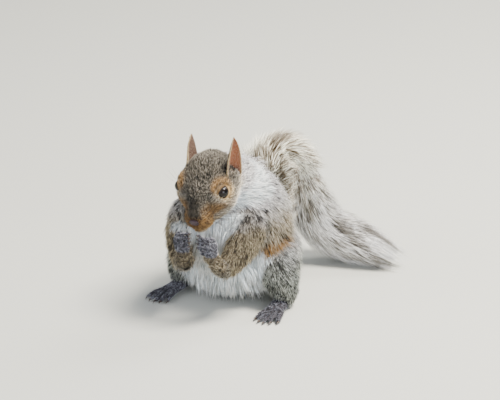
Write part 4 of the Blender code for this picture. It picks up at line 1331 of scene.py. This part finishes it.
def whiskers():
    """Stiff tapering hairs from the muzzle pads, and a few over the eyes."""
    parts = []
    for side, sign in SIDES:
        t = np.linspace(0.0, 1.0, 9)[:, None]
        for row in range(4):
            for k in range(6):
                along = 52.0 - 1.7 * k + rng.normal(0.0, 0.3)
                rise = 1.2 - 1.7 * row + rng.normal(0.0, 0.3)
                start = head_place(along, (5.2 + 0.75 * k) * sign, rise)
                back = -0.30 - 0.10 * k + rng.normal(0, 0.06)
                way = head_turn(back, 1.0 * sign, -0.05 - 0.12 * row + rng.normal(0, 0.06))
                length = (17.0 + 3.6 * k) * (0.85 + 0.3 * rng.random())
                droop = np.array((0.0, 0.05, -1.0)) * length * 0.12
                line = start - way * 1.5 + way * (length * t) + droop * t * t
                parts.append(tube(line, 0.22 * (1.0 - 0.75 * t[:, 0]), 5))
        t = np.linspace(0.0, 1.0, 7)[:, None]
        for k in range(3):
            start = head_place(36.0 - 1.5 * k, 15.5 * sign, 17.0)
            way = head_turn(0.1 - 0.25 * k, 0.75 * sign, 0.8)
            parts.append(tube(start + way * (16.0 * t) - HEAD_LINE * 3.0 * t * t, 0.08 * (1.0 - 0.75 * t[:, 0]), 5))
    return join(parts)


# whisker: stiff dark keratin fibre, satin
whisker_horn = horn("whisker keratin", {"Roughness": 0.35, "IOR": 1.55}, {"Scale": 90.0, "Detail": 1.0},
                    "#151210", "#5b5148")
place(mesh_object("whisker_set", *whiskers()), whisker_horn, ["head"])


# ---- floor, light and camera ----------------------------------------------------------------
CAMERA_TURN = 28.0
CAMERA_RISE = 20.0
CAMERA_FAR = 3000.0
FIELD_WIDTH = 407.8                  # mm across the frame at the animal
VIEW_RIGHT = -17.42                  # middle of the frame, sideways and upwards from the middle of the model
VIEW_UP = 72.28
FLOOR_HALF = 6000.0
LIGHT_AIM = 0.07                     # metres above the floor that the lights point at
# turn about the animal, height above level, distance, size, power and colour of each light
LIGHTS = {
    "key soft box": (100.0, 64.0, 1500.0, 600.0, 84.0, "#fff6ea"),
    "front soft box": (46.0, 12.0, 1800.0, 1000.0, 31.0, "#f3f6ff"),
    "left soft box": (-38.0, 24.0, 1800.0, 1200.0, 16.0, "#f3f6ff"),
    "rim soft box": (165.0, 42.0, 1500.0, 600.0, 20.0, "#fffaf0"),
}


def stage():
    corners = np.array([(x * FLOOR_HALF, y * FLOOR_HALF, 0.0) for x, y in ((-1, -1), (1, -1), (1, 1), (-1, 1))])
    floor = mesh_object("floor", corners, [(0, 1, 2), (0, 2, 3)], shade=False)
    # matt paper: rough and pale grey, so that it throws a soft, even light back
    floor.data.materials.append(surface("matt paper floor", {"Roughness": 0.9, "Base Color": rgba("#bcbeb7")})[0])
    world = bpy.data.worlds.new("studio")
    bpy.context.scene.world = world
    world.use_nodes = True
    sky = world.node_tree.nodes["Background"].inputs
    sky[0].default_value = rgba("#e6ebf2")
    sky[1].default_value = 0.62


def view_axes(turn, rise):
    """Right, up and back of whoever looks at the animal from this turn and height, in degrees."""
    a, e = math.radians(turn), math.radians(rise)
    return (Vector((math.cos(a), math.sin(a), 0.0)),
            Vector((-math.sin(a) * math.sin(e), math.cos(a) * math.sin(e), math.cos(e))),
            Vector((math.sin(a) * math.cos(e), -math.cos(a) * math.cos(e), math.sin(e))))


stage()
for name, (turn, rise, far, size, power, colour) in LIGHTS.items():
    lamp = bpy.data.lights.new(name, "AREA")
    lamp.size = size * MM
    lamp.energy = power
    lamp.color = rgba(colour)[:3]
    holder = bpy.data.objects.new(name, lamp)
    bpy.context.scene.collection.objects.link(holder)
    back = view_axes(turn, rise)[2]
    holder.location = Vector((0.0, 0.0, LIGHT_AIM)) + back * far * MM
    holder.rotation_euler = back.to_track_quat("Z", "Y").to_euler()

right, up, back = view_axes(CAMERA_TURN, CAMERA_RISE)
lens = bpy.data.cameras.new("camera")
camera = bpy.data.objects.new("camera", lens)
bpy.context.scene.collection.objects.link(camera)
lens.sensor_width = 36.0
lens.lens = lens.sensor_width * CAMERA_FAR / FIELD_WIDTH
lens.clip_end = 50.0
camera.location = (right * VIEW_RIGHT + up * VIEW_UP + back * CAMERA_FAR) * MM
camera.rotation_euler = back.to_track_quat("Z", "Y").to_euler()
bpy.context.scene.camera = camera
